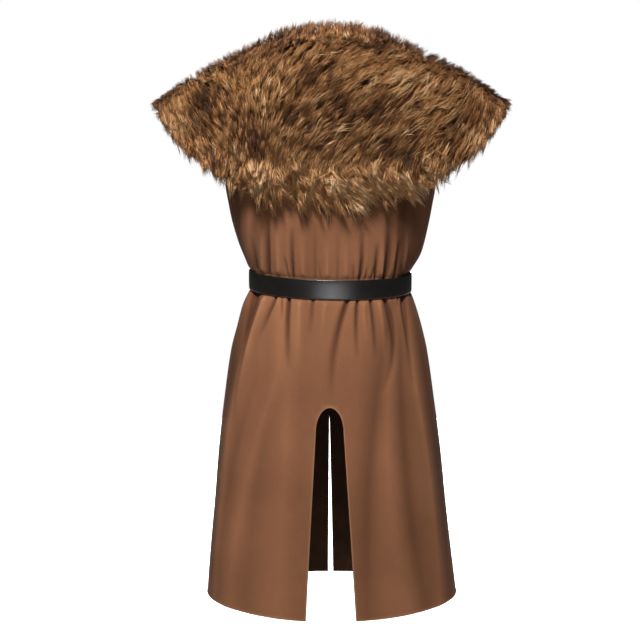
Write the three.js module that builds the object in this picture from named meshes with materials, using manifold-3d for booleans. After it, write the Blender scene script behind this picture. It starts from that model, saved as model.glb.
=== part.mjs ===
// A sleeveless medieval tunic with a fur shoulder mantle and a leather belt, hollow and open as if worn.
// Millimetres. +Z is up, the wearer faces +Y, and the back of the tunic faces -Y.
// The origin is the middle of the neck opening, level with the shoulders, where the wearer holds it up.
import * as THREE from "three";
import { mergeVertices } from "three/addons/utils/BufferGeometryUtils.js";
import Module from "manifold-3d";

const wasm = await Module();
wasm.setup();

// ---------------------------------------------------------------- driving dimensions

const seam = 0.3; // between two pieces that touch
const quarterTurn = Math.PI / 2;
const BACK = -1; // which way a panel faces along Y
const FRONT = 1;

const cloth = { thickness: 2, columns: 44, rowsBelowBelt: 13, rowsAboveBelt: 7, rowsOverShoulder: 6 };
const hemHeight = -1110; // at the sides
const hemDip = 7; // the hem hangs lower in the middle of the back and of the front
const armLevel = -262; // where the side seams end and the armholes begin

// The tunic's outline: half widths to each side and half depth, from the hem to the shoulder.
const sections = [
  { z: -1110, left: 262, right: 260, depth: 152 },
  { z: -1001, left: 250, right: 246, depth: 148 },
  { z: -899, left: 240, right: 234, depth: 144 },
  { z: -797, left: 231, right: 223, depth: 139 },
  { z: -697, left: 219, right: 209, depth: 133 },
  { z: -597, left: 204, right: 194, depth: 127 },
  { z: -548, left: 194, right: 184, depth: 123 },
  { z: -506, left: 184, right: 175, depth: 119 },
  { z: -476, left: 163, right: 158, depth: 114 },
  { z: -432, left: 163, right: 158, depth: 114 },
  { z: -402, left: 179, right: 175, depth: 120 },
  { z: -378, left: 187, right: 183, depth: 122 },
  { z: -334, left: 199, right: 193, depth: 125 },
  { z: -302, left: 205, right: 201, depth: 126 },
  { z: -262, left: 211, right: 207, depth: 127 },
  { z: 0, left: 205, right: 201, depth: 127 },
];

const neck = {
  halfWidth: 95,
  reach: { [BACK]: 74, [FRONT]: 84 }, // how far the neckline stands back and forward of the shoulder line
  rise: { [BACK]: 12, [FRONT]: -62 }, // its middle above or below the ends of the shoulder seams
};
const shoulder = { neckHeight: 14, slope: 0.45 }; // the shoulder seam falls 0.45 mm for each mm out
const shoulderRound = 200; // drop over which the cloth turns from the top of the shoulder to upright
const armhole = { halfDepth: 58, halfHeight: 118, centre: -144, startsAt: 128 };

// The back vent has an elliptical top and sides that spread to the hem; the front slit stands a little open.
const vent = { centre: -2, halfWidth: 28, halfHem: 49.7, archCentre: -735, archHeight: 48 };
const slit = { centre: -1, halfTop: 0.3, halfHem: 6.7, top: -755 };

const belt = { height: -454, width: 38, thickness: 3, band: 22, backDip: 6, tilt: 3, dipSpread: 110 };

// Gathers at the waist. x is where a fold leaves the belt, endX and endZ where it dies out; depth is the
// height of a ridge, or less than nothing for a trough.
const foldsOfBack = [
  { x: -124, endX: -131, endZ: -318, width: 11, depth: -8 },
  { x: -104, endX: -108, endZ: -350, width: 10, depth: 5 },
  { x: -82, endX: -86, endZ: -372, width: 10, depth: -6 },
  { x: -56, endX: -58, endZ: -340, width: 12, depth: 3.5 },
  { x: -30, endX: -30, endZ: -336, width: 13, depth: -4 },
  { x: 9, endX: 8, endZ: -345, width: 12, depth: -3.5 },
  { x: 36, endX: 34, endZ: -352, width: 12, depth: 4 },
  { x: 60, endX: 62, endZ: -350, width: 10, depth: -7 },
  { x: 88, endX: 92, endZ: -376, width: 10, depth: -6 },
  { x: 107, endX: 112, endZ: -352, width: 10, depth: 5 },
  { x: 126, endX: 132, endZ: -340, width: 10, depth: -7 },
  { x: -112, endX: -150, endZ: -585, width: 10, depth: -6 },
  { x: -84, endX: -87, endZ: -645, width: 11, depth: -8 },
  { x: -60, endX: -66, endZ: -640, width: 14, depth: 4 },
  { x: -36, endX: -38, endZ: -560, width: 13, depth: -4 },
  { x: 2, endX: 4, endZ: -700, width: 18, depth: -6 },
  { x: 30, endX: 18, endZ: -600, width: 11, depth: -5 },
  { x: 51, endX: 52, endZ: -610, width: 11, depth: -5 },
  { x: 66, endX: 70, endZ: -640, width: 12, depth: 4 },
  { x: 78, endX: 86, endZ: -620, width: 11, depth: -6 },
  { x: 104, endX: 128, endZ: -650, width: 13, depth: -8 },
  { x: 142, endX: 162, endZ: -680, width: 10, depth: -7 },
];
const foldsOfFront = [
  { x: -128, endX: -134, endZ: -330, width: 11, depth: -7 },
  { x: -98, endX: -103, endZ: -352, width: 11, depth: -6 },
  { x: -74, endX: -78, endZ: -346, width: 12, depth: 4 },
  { x: -50, endX: -53, endZ: -350, width: 11, depth: -5 },
  { x: 47, endX: 49, endZ: -342, width: 11, depth: -5 },
  { x: 70, endX: 74, endZ: -350, width: 12, depth: 4 },
  { x: 95, endX: 100, endZ: -336, width: 11, depth: -7 },
  { x: 127, endX: 134, endZ: -350, width: 10, depth: -6 },
  { x: -138, endX: -158, endZ: -650, width: 11, depth: -7 },
  { x: -106, endX: -120, endZ: -600, width: 12, depth: -7 },
  { x: -82, endX: -90, endZ: -640, width: 12, depth: 4 },
  { x: -58, endX: -62, endZ: -620, width: 12, depth: -6 },
  { x: 55, endX: 58, endZ: -630, width: 12, depth: -6 },
  { x: 80, endX: 88, endZ: -600, width: 12, depth: 4 },
  { x: 100, endX: 118, endZ: -640, width: 12, depth: -8 },
  { x: 134, endX: 154, endZ: -600, width: 10, depth: -6 },
];
// Broad waves that run down the skirt to the hem: x at the hem, half width, and height.
const wavesOfBack = [
  { x: -196, width: 30, depth: -5 },
  { x: -142, width: 34, depth: 4 },
  { x: -92, width: 26, depth: -3 },
  { x: 88, width: 30, depth: 4 },
  { x: 140, width: 30, depth: -5 },
  { x: 192, width: 28, depth: 4 },
];
const wavesOfFront = [
  { x: -190, width: 30, depth: 4 },
  { x: -134, width: 32, depth: -5 },
  { x: -76, width: 28, depth: 4 },
  { x: 72, width: 30, depth: 4 },
  { x: 132, width: 32, depth: -5 },
  { x: 188, width: 30, depth: 4 },
];
const gatherRise = 16; // a gather reaches its full depth this far from the belt

// The mantle from its middle to a tip: its top edge and fringe, the half depth inside it, and its pile.
const mantleOutline = [
  { x: 0, top: 56, fringe: -318, depth: 130, pile: 30 },
  { x: 50, top: 53, fringe: -314, depth: 128, pile: 30 },
  { x: 100, top: 44, fringe: -305, depth: 121, pile: 30 },
  { x: 150, top: 23, fringe: -293, depth: 107, pile: 30 },
  { x: 200, top: -1, fringe: -262, depth: 86, pile: 28 },
  { x: 250, top: -27, fringe: -227, depth: 61, pile: 25 },
  { x: 300, top: -58, fringe: -184, depth: 35, pile: 19 },
  { x: 330, top: -81, fringe: -138, depth: 19, pile: 14 },
  { x: 348, top: -97, fringe: -113, depth: 9, pile: 9 },
];
const mantle = {
  columns: 44, rows: 10, neckShare: 0.34, neckHalfWidth: 97,
  frontDip: 75, // the collar's middle in front, below its middle in the back
  fringeShare: 0.36, // of the pile is left at the fringe
  fringeStart: 0.55,
  tuft: 4, tuftLength: 27,
};

const buckle = {
  hingeAt: 18, barAt: -24, barWidth: 5, barThickness: 4.2, halfInside: 22, hinge: 2.2,
  lift: 4.3, prongWidth: 4.6, prongThickness: 2.2, slotLength: 32, slotAt: 8,
};
const strapPath = { startsAt: 21.5, tail: 112, step: 9 };
const keeper = { at: 54, width: 10, wall: 1.4 };

// ---------------------------------------------------------------- curves and walls

const clamp = (value, low, high) => Math.min(Math.max(value, low), high);
const blend = (a, b, share) => a + (b - a) * share;
const smooth = (share) => {
  const s = clamp(share, 0, 1);
  return s * s * (3 - 2 * s);
};
const bell = (distance, width) => Math.exp(-((distance / width) ** 2));

// One column of a table at a given key, on a smooth curve through its rows.
function along(table, key, column, at) {
  const last = table.length - 1;
  let i = 0;
  while (i < last - 1 && at > table[i + 1][key]) i++;
  const slope = (j) => {
    const below = table[Math.max(j - 1, 0)];
    const above = table[Math.min(j + 1, last)];
    return (above[column] - below[column]) / (above[key] - below[key]);
  };
  const step = table[i + 1][key] - table[i][key];
  const t = clamp((at - table[i][key]) / step, 0, 1);
  const start = table[i][column];
  const end = table[i + 1][column];
  return (
    start * (1 + 2 * t) * (1 - t) ** 2 +
    end * t * t * (3 - 2 * t) +
    slope(i) * step * t * (1 - t) ** 2 -
    slope(i + 1) * step * t * t * (1 - t)
  );
}

// A closed solid between two grids of points, closed along their four edges.
function solidBetween(outer, inner) {
  const rows = outer.length;
  const columns = outer[0].length;
  const positions = [...outer.flat(), ...inner.flat()].flatMap((p) => p.toArray());
  const indices = [];
  const outside = (i, j) => i * columns + j;
  const inside = (i, j) => (rows + i) * columns + j;
  const quad = (a, b, c, d) => indices.push(a, b, c, a, c, d);
  for (let i = 0; i < rows - 1; i++)
    for (let j = 0; j < columns - 1; j++) {
      quad(outside(i, j), outside(i, j + 1), outside(i + 1, j + 1), outside(i + 1, j));
      quad(inside(i, j), inside(i + 1, j), inside(i + 1, j + 1), inside(i, j + 1));
    }
  for (let j = 0; j < columns - 1; j++) {
    quad(outside(0, j), inside(0, j), inside(0, j + 1), outside(0, j + 1));
    quad(outside(rows - 1, j), outside(rows - 1, j + 1), inside(rows - 1, j + 1), inside(rows - 1, j));
  }
  for (let i = 0; i < rows - 1; i++) {
    quad(outside(i, 0), outside(i + 1, 0), inside(i + 1, 0), inside(i, 0));
    quad(outside(i, columns - 1), inside(i, columns - 1), inside(i + 1, columns - 1), outside(i + 1, columns - 1));
  }
  const geometry = new THREE.BufferGeometry();
  geometry.setAttribute("position", new THREE.Float32BufferAttribute(positions, 3));
  geometry.setIndex(indices);
  return facingOut(geometry);
}

// Turns every face round if the solid is inside out.
function facingOut(geometry) {
  const p = geometry.getAttribute("position");
  const index = geometry.getIndex();
  const corner = (i) => new THREE.Vector3().fromBufferAttribute(p, index.getX(i));
  let volume = 0;
  for (let i = 0; i < index.count; i += 3) volume += corner(i).dot(corner(i + 1).cross(corner(i + 2)));
  if (volume < 0)
    for (let i = 0; i < index.count; i += 3) {
      const second = index.getX(i + 1);
      index.setX(i + 1, index.getX(i + 2));
      index.setX(i + 2, second);
    }
  return geometry;
}

// A solid for cutting and joining, and back again.
function toManifold(geometry) {
  const bare = geometry.clone();
  bare.deleteAttribute("normal");
  bare.deleteAttribute("uv");
  const merged = mergeVertices(bare, 1e-4);
  return new wasm.Manifold(
    new wasm.Mesh({
      numProp: 3,
      vertProperties: new Float32Array(merged.getAttribute("position").array),
      triVerts: new Uint32Array(merged.getIndex().array),
    }),
  );
}
function toGeometry(manifold) {
  const mesh = manifold.getMesh();
  const geometry = new THREE.BufferGeometry();
  geometry.setAttribute("position", new THREE.BufferAttribute(new Float32Array(mesh.vertProperties), 3));
  geometry.setIndex(new THREE.BufferAttribute(new Uint32Array(mesh.triVerts), 1));
  return geometry;
}
const cut = (geometry, ...tools) =>
  toGeometry(tools.reduce((left, tool) => left.subtract(toManifold(tool)), toManifold(geometry)));

const group = new THREE.Group();
function add(name, geometry, color, roughness, metalness = 0) {
  const flat = geometry.index ? geometry.toNonIndexed() : geometry;
  flat.computeVertexNormals();
  const mesh = new THREE.Mesh(flat, new THREE.MeshStandardMaterial({ color, roughness, metalness }));
  mesh.name = name;
  group.add(mesh);
}

// ---------------------------------------------------------------- the form that the cloth hangs on

// Height of the shoulder seam, or of the neckline between the seams, at a distance from the middle.
function shoulderLine(x, facing) {
  const out = Math.abs(x);
  if (out > neck.halfWidth) return shoulder.neckHeight - shoulder.slope * (out - neck.halfWidth);
  return shoulder.neckHeight + neck.rise[facing] * (1 - (out / neck.halfWidth) ** 2) ** 2;
}
// How far the neckline stands away from the shoulder line.
const neckReach = (x, facing, halfWidth) =>
  neck.reach[facing] * Math.sqrt(Math.max(1 - (x / halfWidth) ** 2, 0));
// How far the cloth has turned from lying on the shoulder, 0, to hanging upright, 1.
const turned = (drop) => Math.sqrt(1 - (1 - clamp(drop / shoulderRound, 0, 1)) ** 2);
// Half depth at a drop below the shoulder: the neckline's reach at the top, the full depth when upright.
function depthAt(drop, reach, full) {
  const share = turned(drop);
  const fromNeck = reach * Math.sqrt(1 - share ** 2);
  return (fromNeck ** 4 + (full * share) ** 4) ** 0.25;
}

// Sections are the same all over the belt's band, so that the strap lies flat on the cloth.
function halfSizes(z) {
  const fromBelt = z - belt.height;
  const at = Math.abs(fromBelt) < belt.band ? belt.height + belt.band : z;
  return {
    left: along(sections, "z", "left", at),
    right: along(sections, "z", "right", at),
    depth: along(sections, "z", "depth", at),
  };
}
// A place on the section at a turn from the middle of the panel, with its outward direction.
function placeOn(size, turn, facing) {
  const half = blend(size.left, size.right, (1 + Math.sin(turn)) / 2);
  const place = new THREE.Vector3(half * Math.sin(turn), facing * size.depth * Math.cos(turn), 0);
  const out = new THREE.Vector3(place.x / half ** 2, place.y / size.depth ** 2, 0).normalize();
  return { place, out };
}
// The belt sits lower in the back, and its right side lower than its left.
const beltSag = (place) =>
  -belt.tilt * (place.x / 160) - belt.backDip * clamp(-place.y / 114, 0, 1);

function foldHeight(folds, waves, x, z) {
  const fromBelt = Math.abs(z - belt.height) - belt.band;
  if (fromBelt <= 0) return 0;
  let height = 0;
  for (const fold of folds) {
    const reach = Math.abs(fold.endZ - belt.height) - belt.band;
    const share = fromBelt / reach;
    if (fold.endZ > belt.height !== z > belt.height || share > 1) continue;
    const middle = blend(fold.x, fold.endX, share);
    const swell = smooth(fromBelt / gatherRise) * (1 - share) ** 0.9;
    height += fold.depth * swell * bell(x - middle, fold.width * (1 + share));
  }
  if (z < belt.height) {
    const down = fromBelt / (belt.height - belt.band - hemHeight);
    const narrowing = blend(0.62, 1, down);
    for (const wave of waves)
      height += wave.depth * smooth(down * 1.4) * bell(x - wave.x * narrowing, wave.width * narrowing);
  }
  return height;
}

// ---------------------------------------------------------------- tunic panels

const clothFolds = {
  [BACK]: { folds: foldsOfBack, waves: wavesOfBack },
  [FRONT]: { folds: foldsOfFront, waves: wavesOfFront },
};

// A point of a panel's outer face. across runs -1 to 1 from one side seam to the other, and level is a
// height up to armLevel, or above it armLevel plus the share of the way up to the shoulder seam.
function clothPoint(facing, across, level, overShoulder) {
  const turn = across * quarterTurn;
  const { folds, waves } = clothFolds[facing];
  if (overShoulder === undefined) {
    const { place, out } = placeOn(halfSizes(level), turn, facing);
    const down = clamp((belt.height - level) / (belt.height - hemHeight), 0, 1);
    const upright =
      level + beltSag(place) * bell(level - belt.height, belt.dipSpread) - hemDip * (down * Math.cos(turn)) ** 2;
    place.addScaledVector(out, foldHeight(folds, waves, place.x, level));
    return place.setZ(upright);
  }
  const chest = placeOn(halfSizes(armLevel), turn, facing).place;
  const top = placeOn(halfSizes(0), turn, facing).place;
  const ridge = shoulderLine(top.x, facing);
  const drop = (ridge - armLevel) * (1 - overShoulder) ** 1.8;
  const reach = neckReach(top.x, facing, neck.halfWidth);
  return new THREE.Vector3(
    blend(chest.x, top.x, overShoulder),
    facing * depthAt(drop, reach, Math.abs(chest.y)),
    ridge - drop,
  );
}

// All levels of a panel from hem to shoulder, closer together near the belt and at the shoulder.
function panelLevels() {
  const levels = [];
  const lower = belt.height - belt.band;
  const upper = belt.height + belt.band;
  for (let i = cloth.rowsBelowBelt; i >= 0; i--)
    levels.push([lower - (lower - hemHeight) * (i / cloth.rowsBelowBelt) ** 1.7]);
  for (let i = 0; i <= cloth.rowsAboveBelt; i++)
    levels.push([upper + (armLevel - upper) * (i / cloth.rowsAboveBelt) ** 1.3]);
  for (let i = 1; i <= cloth.rowsOverShoulder; i++) levels.push([armLevel, i / cloth.rowsOverShoulder]);
  return levels;
}

// A panel between two distances outwards from the cloth's outer face.
function panelWall(facing, outwards, inwards) {
  const levels = panelLevels();
  const points = levels.map(([level, over]) =>
    Array.from({ length: cloth.columns + 1 }, (_, j) =>
      clothPoint(facing, (2 * j) / cloth.columns - 1, level, over),
    ),
  );
  const rows = points.length;
  const shifted = (distance) =>
    points.map((row, i) =>
      row.map((point, j) => {
        const before = row[Math.max(j - 1, 0)];
        const after = row[Math.min(j + 1, cloth.columns)];
        const below = points[Math.max(i - 1, 0)][j];
        const above = points[Math.min(i + 1, rows - 1)][j];
        const out = after.clone().sub(before).cross(above.clone().sub(below));
        const onSideSeam = j === 0 || j === cloth.columns;
        const onShoulderSeam = i === rows - 1 && Math.abs(point.y) < 1;
        if (onShoulderSeam) out.set(0, 0, 1);
        else if (onSideSeam) out.set(point.x, 0, 0);
        out.normalize();
        if (!onShoulderSeam && !onSideSeam && out.y * facing < 0) out.negate();
        return point.clone().addScaledVector(out, distance).add(new THREE.Vector3(0, facing * (seam / 2), 0));
      }),
    );
  return solidBetween(shifted(outwards), shifted(inwards));
}

// A cutter through one panel from a flat outline of x and z.
function throughPanel(outline, facing) {
  const reach = 400;
  const block = new THREE.ExtrudeGeometry(outline, { depth: reach, bevelEnabled: false, curveSegments: 10 });
  block.rotateX(quarterTurn); // the extrusion now runs from y = 0 to -reach
  if (facing === FRONT) block.translate(0, reach, 0);
  return block;
}
function ventOutline() {
  const past = 30; // how far the cutter runs below the hem
  const spread = (vent.halfHem - vent.halfWidth) / (vent.archCentre - hemHeight);
  const half = vent.halfHem + spread * past;
  const outline = new THREE.Shape();
  outline.moveTo(vent.centre - half, hemHeight - past);
  outline.lineTo(vent.centre + half, hemHeight - past);
  outline.lineTo(vent.centre + vent.halfWidth, vent.archCentre);
  outline.absellipse(vent.centre, vent.archCentre, vent.halfWidth, vent.archHeight, 0, Math.PI, false);
  outline.closePath();
  return outline;
}
function slitOutline() {
  const outline = new THREE.Shape();
  outline.moveTo(slit.centre - slit.halfHem, hemHeight - 30);
  outline.lineTo(slit.centre + slit.halfHem, hemHeight - 30);
  outline.lineTo(slit.centre + slit.halfTop, slit.top);
  outline.lineTo(slit.centre - slit.halfTop, slit.top);
  outline.closePath();
  return outline;
}
function armholeCutter(side) {
  const outline = new THREE.Shape();
  outline.absellipse(0, armhole.centre, armhole.halfDepth, armhole.halfHeight, 0, 2 * Math.PI, false);
  const block = new THREE.ExtrudeGeometry(outline, { depth: 160, bevelEnabled: false, curveSegments: 14 });
  // The outline's x and y become y and z, and its depth runs along X.
  const turn = new THREE.Matrix4().makeBasis(
    new THREE.Vector3(0, 1, 0),
    new THREE.Vector3(0, 0, 1),
    new THREE.Vector3(1, 0, 0),
  );
  block.applyMatrix4(turn);
  return block.translate(side > 0 ? armhole.startsAt : -armhole.startsAt - 160, 0, 0);
}

function tunicPanel(facing) {
  const opening = facing === BACK ? ventOutline() : slitOutline();
  return cut(
    panelWall(facing, 0, -cloth.thickness),
    throughPanel(opening, facing),
    armholeCutter(-1),
    armholeCutter(1),
  );
}
add("tunic_back", tunicPanel(BACK), 0x7e553c, 0.85);
add("tunic_front", tunicPanel(FRONT), 0x7e553c, 0.85);

// ---------------------------------------------------------------- fur mantle

function mantlePoint(facing, x, down, outside) {
  const out = Math.abs(x);
  const read = (column) => along(mantleOutline, "x", column, out);
  const inNeck = Math.max(1 - (out / mantle.neckHalfWidth) ** 2, 0);
  const pile = read("pile");
  const frontDip = facing === FRONT ? mantle.frontDip * inNeck ** 2 : 0;
  const top = read("top") - frontDip - (outside ? 0 : pile);
  const tuft = mantle.tuft * Math.sin((2 * Math.PI * x) / mantle.tuftLength + 0.4 * facing) * (1 - out / 400);
  const fringe = read("fringe") + (outside ? 0 : 4) + tuft * down ** 6;
  const drop = (top - fringe) * down ** 2;
  const thinning = smooth((down - mantle.fringeStart) / (1 - mantle.fringeStart));
  const thick = outside ? pile * blend(1, mantle.fringeShare, thinning) : 0;
  const reach = neckReach(out, facing, mantle.neckHalfWidth) + (inNeck > 0 ? 2 * Math.sqrt(inNeck) : 0);
  const y = depthAt(drop, reach, read("depth") + thick);
  return new THREE.Vector3(x, facing * (y + seam / 2), top - drop);
}
// Columns are close together round the neck and spread evenly out to the tips.
function mantleColumn(share) {
  const tip = mantleOutline.at(-1).x;
  const out = Math.abs(share);
  if (out < mantle.neckShare) return mantle.neckHalfWidth * Math.sin((share / mantle.neckShare) * quarterTurn);
  const beyond = (out - mantle.neckShare) / (1 - mantle.neckShare);
  return Math.sign(share) * blend(mantle.neckHalfWidth, tip, beyond);
}
function mantlePanel(facing) {
  const grid = (outside) =>
    Array.from({ length: mantle.rows + 1 }, (_, i) =>
      Array.from({ length: mantle.columns + 1 }, (_, j) =>
        mantlePoint(facing, mantleColumn((2 * j) / mantle.columns - 1), i / mantle.rows, outside),
      ),
    );
  // The inside is cut to the shoulders that it lies on.
  return cut(solidBetween(grid(true), grid(false)), panelWall(facing, seam, -25));
}
add("mantle_back", mantlePanel(BACK), 0x704c30, 0.95);
add("mantle_front", mantlePanel(FRONT), 0x704c30, 0.95);

// ---------------------------------------------------------------- belt

// The waist as a closed line of small steps, from the middle of the front towards +X.
const waist = (() => {
  const size = halfSizes(belt.height);
  const steps = 720;
  const line = [];
  let length = 0;
  for (let i = 0; i <= steps; i++) {
    const angle = (2 * Math.PI * i) / steps;
    const facing = Math.cos(angle) < 0 ? BACK : FRONT;
    const { place, out } = placeOn(size, Math.asin(Math.sin(angle)), facing);
    if (i) length += place.distanceTo(line[i - 1].place);
    line.push({ place, out, length });
  }
  return { line, length };
})();

// The place that is so far along the waist, off the cloth, and above or below the belt's middle.
function onWaist(distance, off, height) {
  const round = ((distance % waist.length) + waist.length) % waist.length;
  const last = waist.line.length - 1;
  const i = clamp(Math.floor((round / waist.length) * last), 0, last - 1);
  let j = i;
  while (j > 0 && waist.line[j].length > round) j--;
  while (j < last - 1 && waist.line[j + 1].length < round) j++;
  const a = waist.line[j];
  const b = waist.line[j + 1];
  const share = (round - a.length) / (b.length - a.length);
  const place = a.place.clone().lerp(b.place, share);
  const out = a.out.clone().lerp(b.out, share).normalize();
  const z = belt.height + beltSag(place) + height;
  return place.addScaledVector(out, off).setZ(z).add(new THREE.Vector3(0, Math.sign(place.y) * (seam / 2), 0));
}
// Bends a geometry whose x runs along the waist, y off the cloth and z up.
function bendOnWaist(geometry) {
  const p = geometry.getAttribute("position");
  for (let i = 0; i < p.count; i++) {
    const bent = onWaist(p.getX(i), p.getY(i), p.getZ(i));
    p.setXYZ(i, bent.x, bent.y, bent.z);
  }
  return geometry;
}

// How far the strap's inner face is off the cloth: it lifts over the keeper's back and, after a full
// turn, goes under the buckle's bar, over its hinge and on over its own start.
const overHinge = buckle.hinge * 2 + 1.1 + seam;
function strapLift(distance) {
  const low = seam + keeper.wall + seam;
  const lap = distance - waist.length;
  if (lap < -40) return blend(low, seam, smooth((distance - 72) / 45));
  const onStart = low + belt.thickness + seam;
  const overBar = blend(seam, Math.max(overHinge, onStart), smooth((lap + 30) / 40));
  return blend(overBar, seam + belt.thickness + seam, smooth((lap - 72) / 45));
}
function strap() {
  const end = waist.length + buckle.hingeAt + strapPath.tail;
  const count = Math.round((end - strapPath.startsAt) / strapPath.step);
  const outer = [];
  const inner = [];
  for (let i = 0; i <= count; i++) {
    const at = blend(strapPath.startsAt, end, i / count);
    const fromTip = end - at;
    const half = (belt.width / 2) * Math.sqrt(clamp(0.35 + fromTip / 26, 0, 1));
    const lift = strapLift(at);
    const across = (off) => [-half, half].map((height) => onWaist(at, off, height));
    outer.push(across(lift + belt.thickness));
    inner.push(across(lift));
  }
  const slot = new THREE.BoxGeometry(buckle.slotLength, 14, buckle.prongWidth + 2);
  slot.translate(buckle.slotAt, overHinge + 3.4, 0);
  return cut(solidBetween(outer, inner), bendOnWaist(slot));
}
add("belt_strap", strap(), 0x1c1a18, 0.45);

// The frame: a bar over the strap, two sides, and a hinge pin set low, which the strap laps over.
function buckleFrame() {
  const { barAt, barWidth, barThickness, halfInside, hingeAt, hinge, lift } = buckle;
  const left = barAt - barWidth / 2;
  const right = hingeAt + hinge + 1;
  const high = halfInside + barWidth;
  const outline = new THREE.Shape();
  const corner = 6;
  outline.moveTo(right, -high);
  outline.lineTo(left + corner, -high);
  outline.absarc(left + corner, -high + corner, corner, -quarterTurn, -Math.PI, true);
  outline.lineTo(left, high - corner);
  outline.absarc(left + corner, high - corner, corner, Math.PI, quarterTurn, true);
  outline.lineTo(right, high);
  outline.lineTo(right, halfInside);
  outline.lineTo(left + barWidth, halfInside);
  outline.lineTo(left + barWidth, -halfInside);
  outline.lineTo(right, -halfInside);
  outline.closePath();
  const plate = new THREE.ExtrudeGeometry(outline, { depth: barThickness, bevelEnabled: false, curveSegments: 5 });
  plate.rotateX(quarterTurn); // x stays along the belt, the outline's y becomes z
  plate.translate(0, lift + barThickness, 0);
  const pin = new THREE.CylinderGeometry(hinge, hinge, 2 * halfInside + barWidth, 12);
  pin.rotateX(quarterTurn);
  pin.translate(hingeAt, seam + 0.6 + hinge, 0);
  const foot = new THREE.BoxGeometry(2 * hinge, lift + 1 - (seam + 0.6 + hinge), barWidth * 0.8);
  const feet = [-1, 1].map((end) => {
    const block = foot.clone();
    const low = seam + 0.6 + hinge;
    block.translate(hingeAt, low + (lift + 1 - low) / 2, end * (halfInside + barWidth / 2));
    return block;
  });
  const joined = feet.reduce(
    (whole, block) => whole.add(toManifold(block)),
    toManifold(plate).add(toManifold(pin)),
  );
  return bendOnWaist(toGeometry(joined));
}
add("belt_buckle_frame", buckleFrame(), 0x4a4744, 0.35, 0.9);

// The prong is straight. It rests on the hinge pin and on the frame's bar, through the slot in the strap.
function prong() {
  const { hingeAt, hinge, barAt, lift, barThickness, prongWidth, prongThickness } = buckle;
  const pinTop = seam + 0.6 + 2 * hinge + seam;
  const barTop = lift + barThickness + seam;
  const side = [
    [hingeAt + 2, pinTop],
    [hingeAt + 2, pinTop + prongThickness],
    [hingeAt - 6, pinTop + prongThickness + 1.2],
    [barAt + 4, barTop + prongThickness],
    [barAt - 2.6, barTop + prongThickness - 0.4],
    [barAt - 3.2, barTop + 0.2],
    [barAt + 3.2, barTop],
    [hingeAt - 6, pinTop + 1.2],
  ].map(([at, off]) => onWaist(at, off, 0));
  const outline = new THREE.Shape(side.map((point) => new THREE.Vector2(point.x, point.y)));
  const bar = new THREE.ExtrudeGeometry(outline, { depth: prongWidth, bevelEnabled: false });
  return bar.translate(0, 0, belt.height - prongWidth / 2);
}
add("belt_prong", prong(), 0x4a4744, 0.35, 0.9);

// A leather loop round the strap and its tail.
function keeperLoop() {
  const inside = { low: seam + keeper.wall, high: strapLift(waist.length + keeper.at) + belt.thickness + seam };
  const tall = belt.width / 2 + seam;
  const rectangle = (shape, low, high, half) => {
    shape.moveTo(low, -half);
    shape.lineTo(high, -half);
    shape.lineTo(high, half);
    shape.lineTo(low, half);
    shape.closePath();
    return shape;
  };
  const loop = rectangle(new THREE.Shape(), inside.low - keeper.wall, inside.high + keeper.wall, tall + keeper.wall);
  loop.holes.push(rectangle(new THREE.Path(), inside.low, inside.high, tall));
  const band = new THREE.ExtrudeGeometry(loop, { depth: keeper.width, bevelEnabled: false });
  // The outline's x is off the cloth and its y is up; the band's depth runs along the belt.
  band.applyMatrix4(
    new THREE.Matrix4().makeBasis(
      new THREE.Vector3(0, 1, 0),
      new THREE.Vector3(0, 0, 1),
      new THREE.Vector3(1, 0, 0),
    ),
  );
  return bendOnWaist(band.translate(keeper.at - keeper.width / 2, 0, 0));
}
add("belt_keeper", keeperLoop(), 0x1c1a18, 0.45);

export default group;
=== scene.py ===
import math

import bmesh
import bpy
import numpy as np
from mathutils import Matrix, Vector


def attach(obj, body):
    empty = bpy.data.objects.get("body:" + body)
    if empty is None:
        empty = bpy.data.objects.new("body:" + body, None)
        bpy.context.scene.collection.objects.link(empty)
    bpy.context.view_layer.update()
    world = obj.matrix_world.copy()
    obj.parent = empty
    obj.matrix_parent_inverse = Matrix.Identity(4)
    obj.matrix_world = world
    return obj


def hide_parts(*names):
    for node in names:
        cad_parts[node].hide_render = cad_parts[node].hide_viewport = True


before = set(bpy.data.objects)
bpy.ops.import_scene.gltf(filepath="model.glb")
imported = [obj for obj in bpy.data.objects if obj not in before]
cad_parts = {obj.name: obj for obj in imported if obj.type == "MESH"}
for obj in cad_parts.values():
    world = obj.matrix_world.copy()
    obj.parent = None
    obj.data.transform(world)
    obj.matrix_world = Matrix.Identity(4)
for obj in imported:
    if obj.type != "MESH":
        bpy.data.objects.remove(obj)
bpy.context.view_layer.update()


# ---------------------------------------------------------------- room
# A pale paper floor, soft studio lamps, and a camera that looks a little down on the back of the garment.
# The room's sizes are in metres, and its lamps' power in watts.
def socket_values(node, **values):
    """Set a node's inputs. An underscore in a name stands for a space."""
    for name, value in values.items():
        node.inputs[name.replace("_", " ")].default_value = value


def add_object(name, data):
    thing = bpy.data.objects.new(name, data)
    bpy.context.scene.collection.objects.link(thing)
    return thing


def object_from(bm, name):
    """An object with the bmesh's faces. The bmesh is used up."""
    mesh = bpy.data.meshes.new(name)
    bm.to_mesh(mesh)
    bm.free()
    return add_object(name, mesh)


def area_light(name, place, at, size, power, color=(1, 1, 1), spread=180, height=None):
    """A soft round lamp that points at a place. With a height it is oval."""
    data = bpy.data.lights.new(name, "AREA")
    data.shape, data.spread = "ELLIPSE", math.radians(spread)
    data.size, data.size_y = size, height or size
    data.energy, data.color = power, color
    light = add_object(name, data)
    light.location = place
    light.rotation_euler = (Vector(at) - Vector(place)).to_track_quat("-Z", "Y").to_euler()


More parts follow.
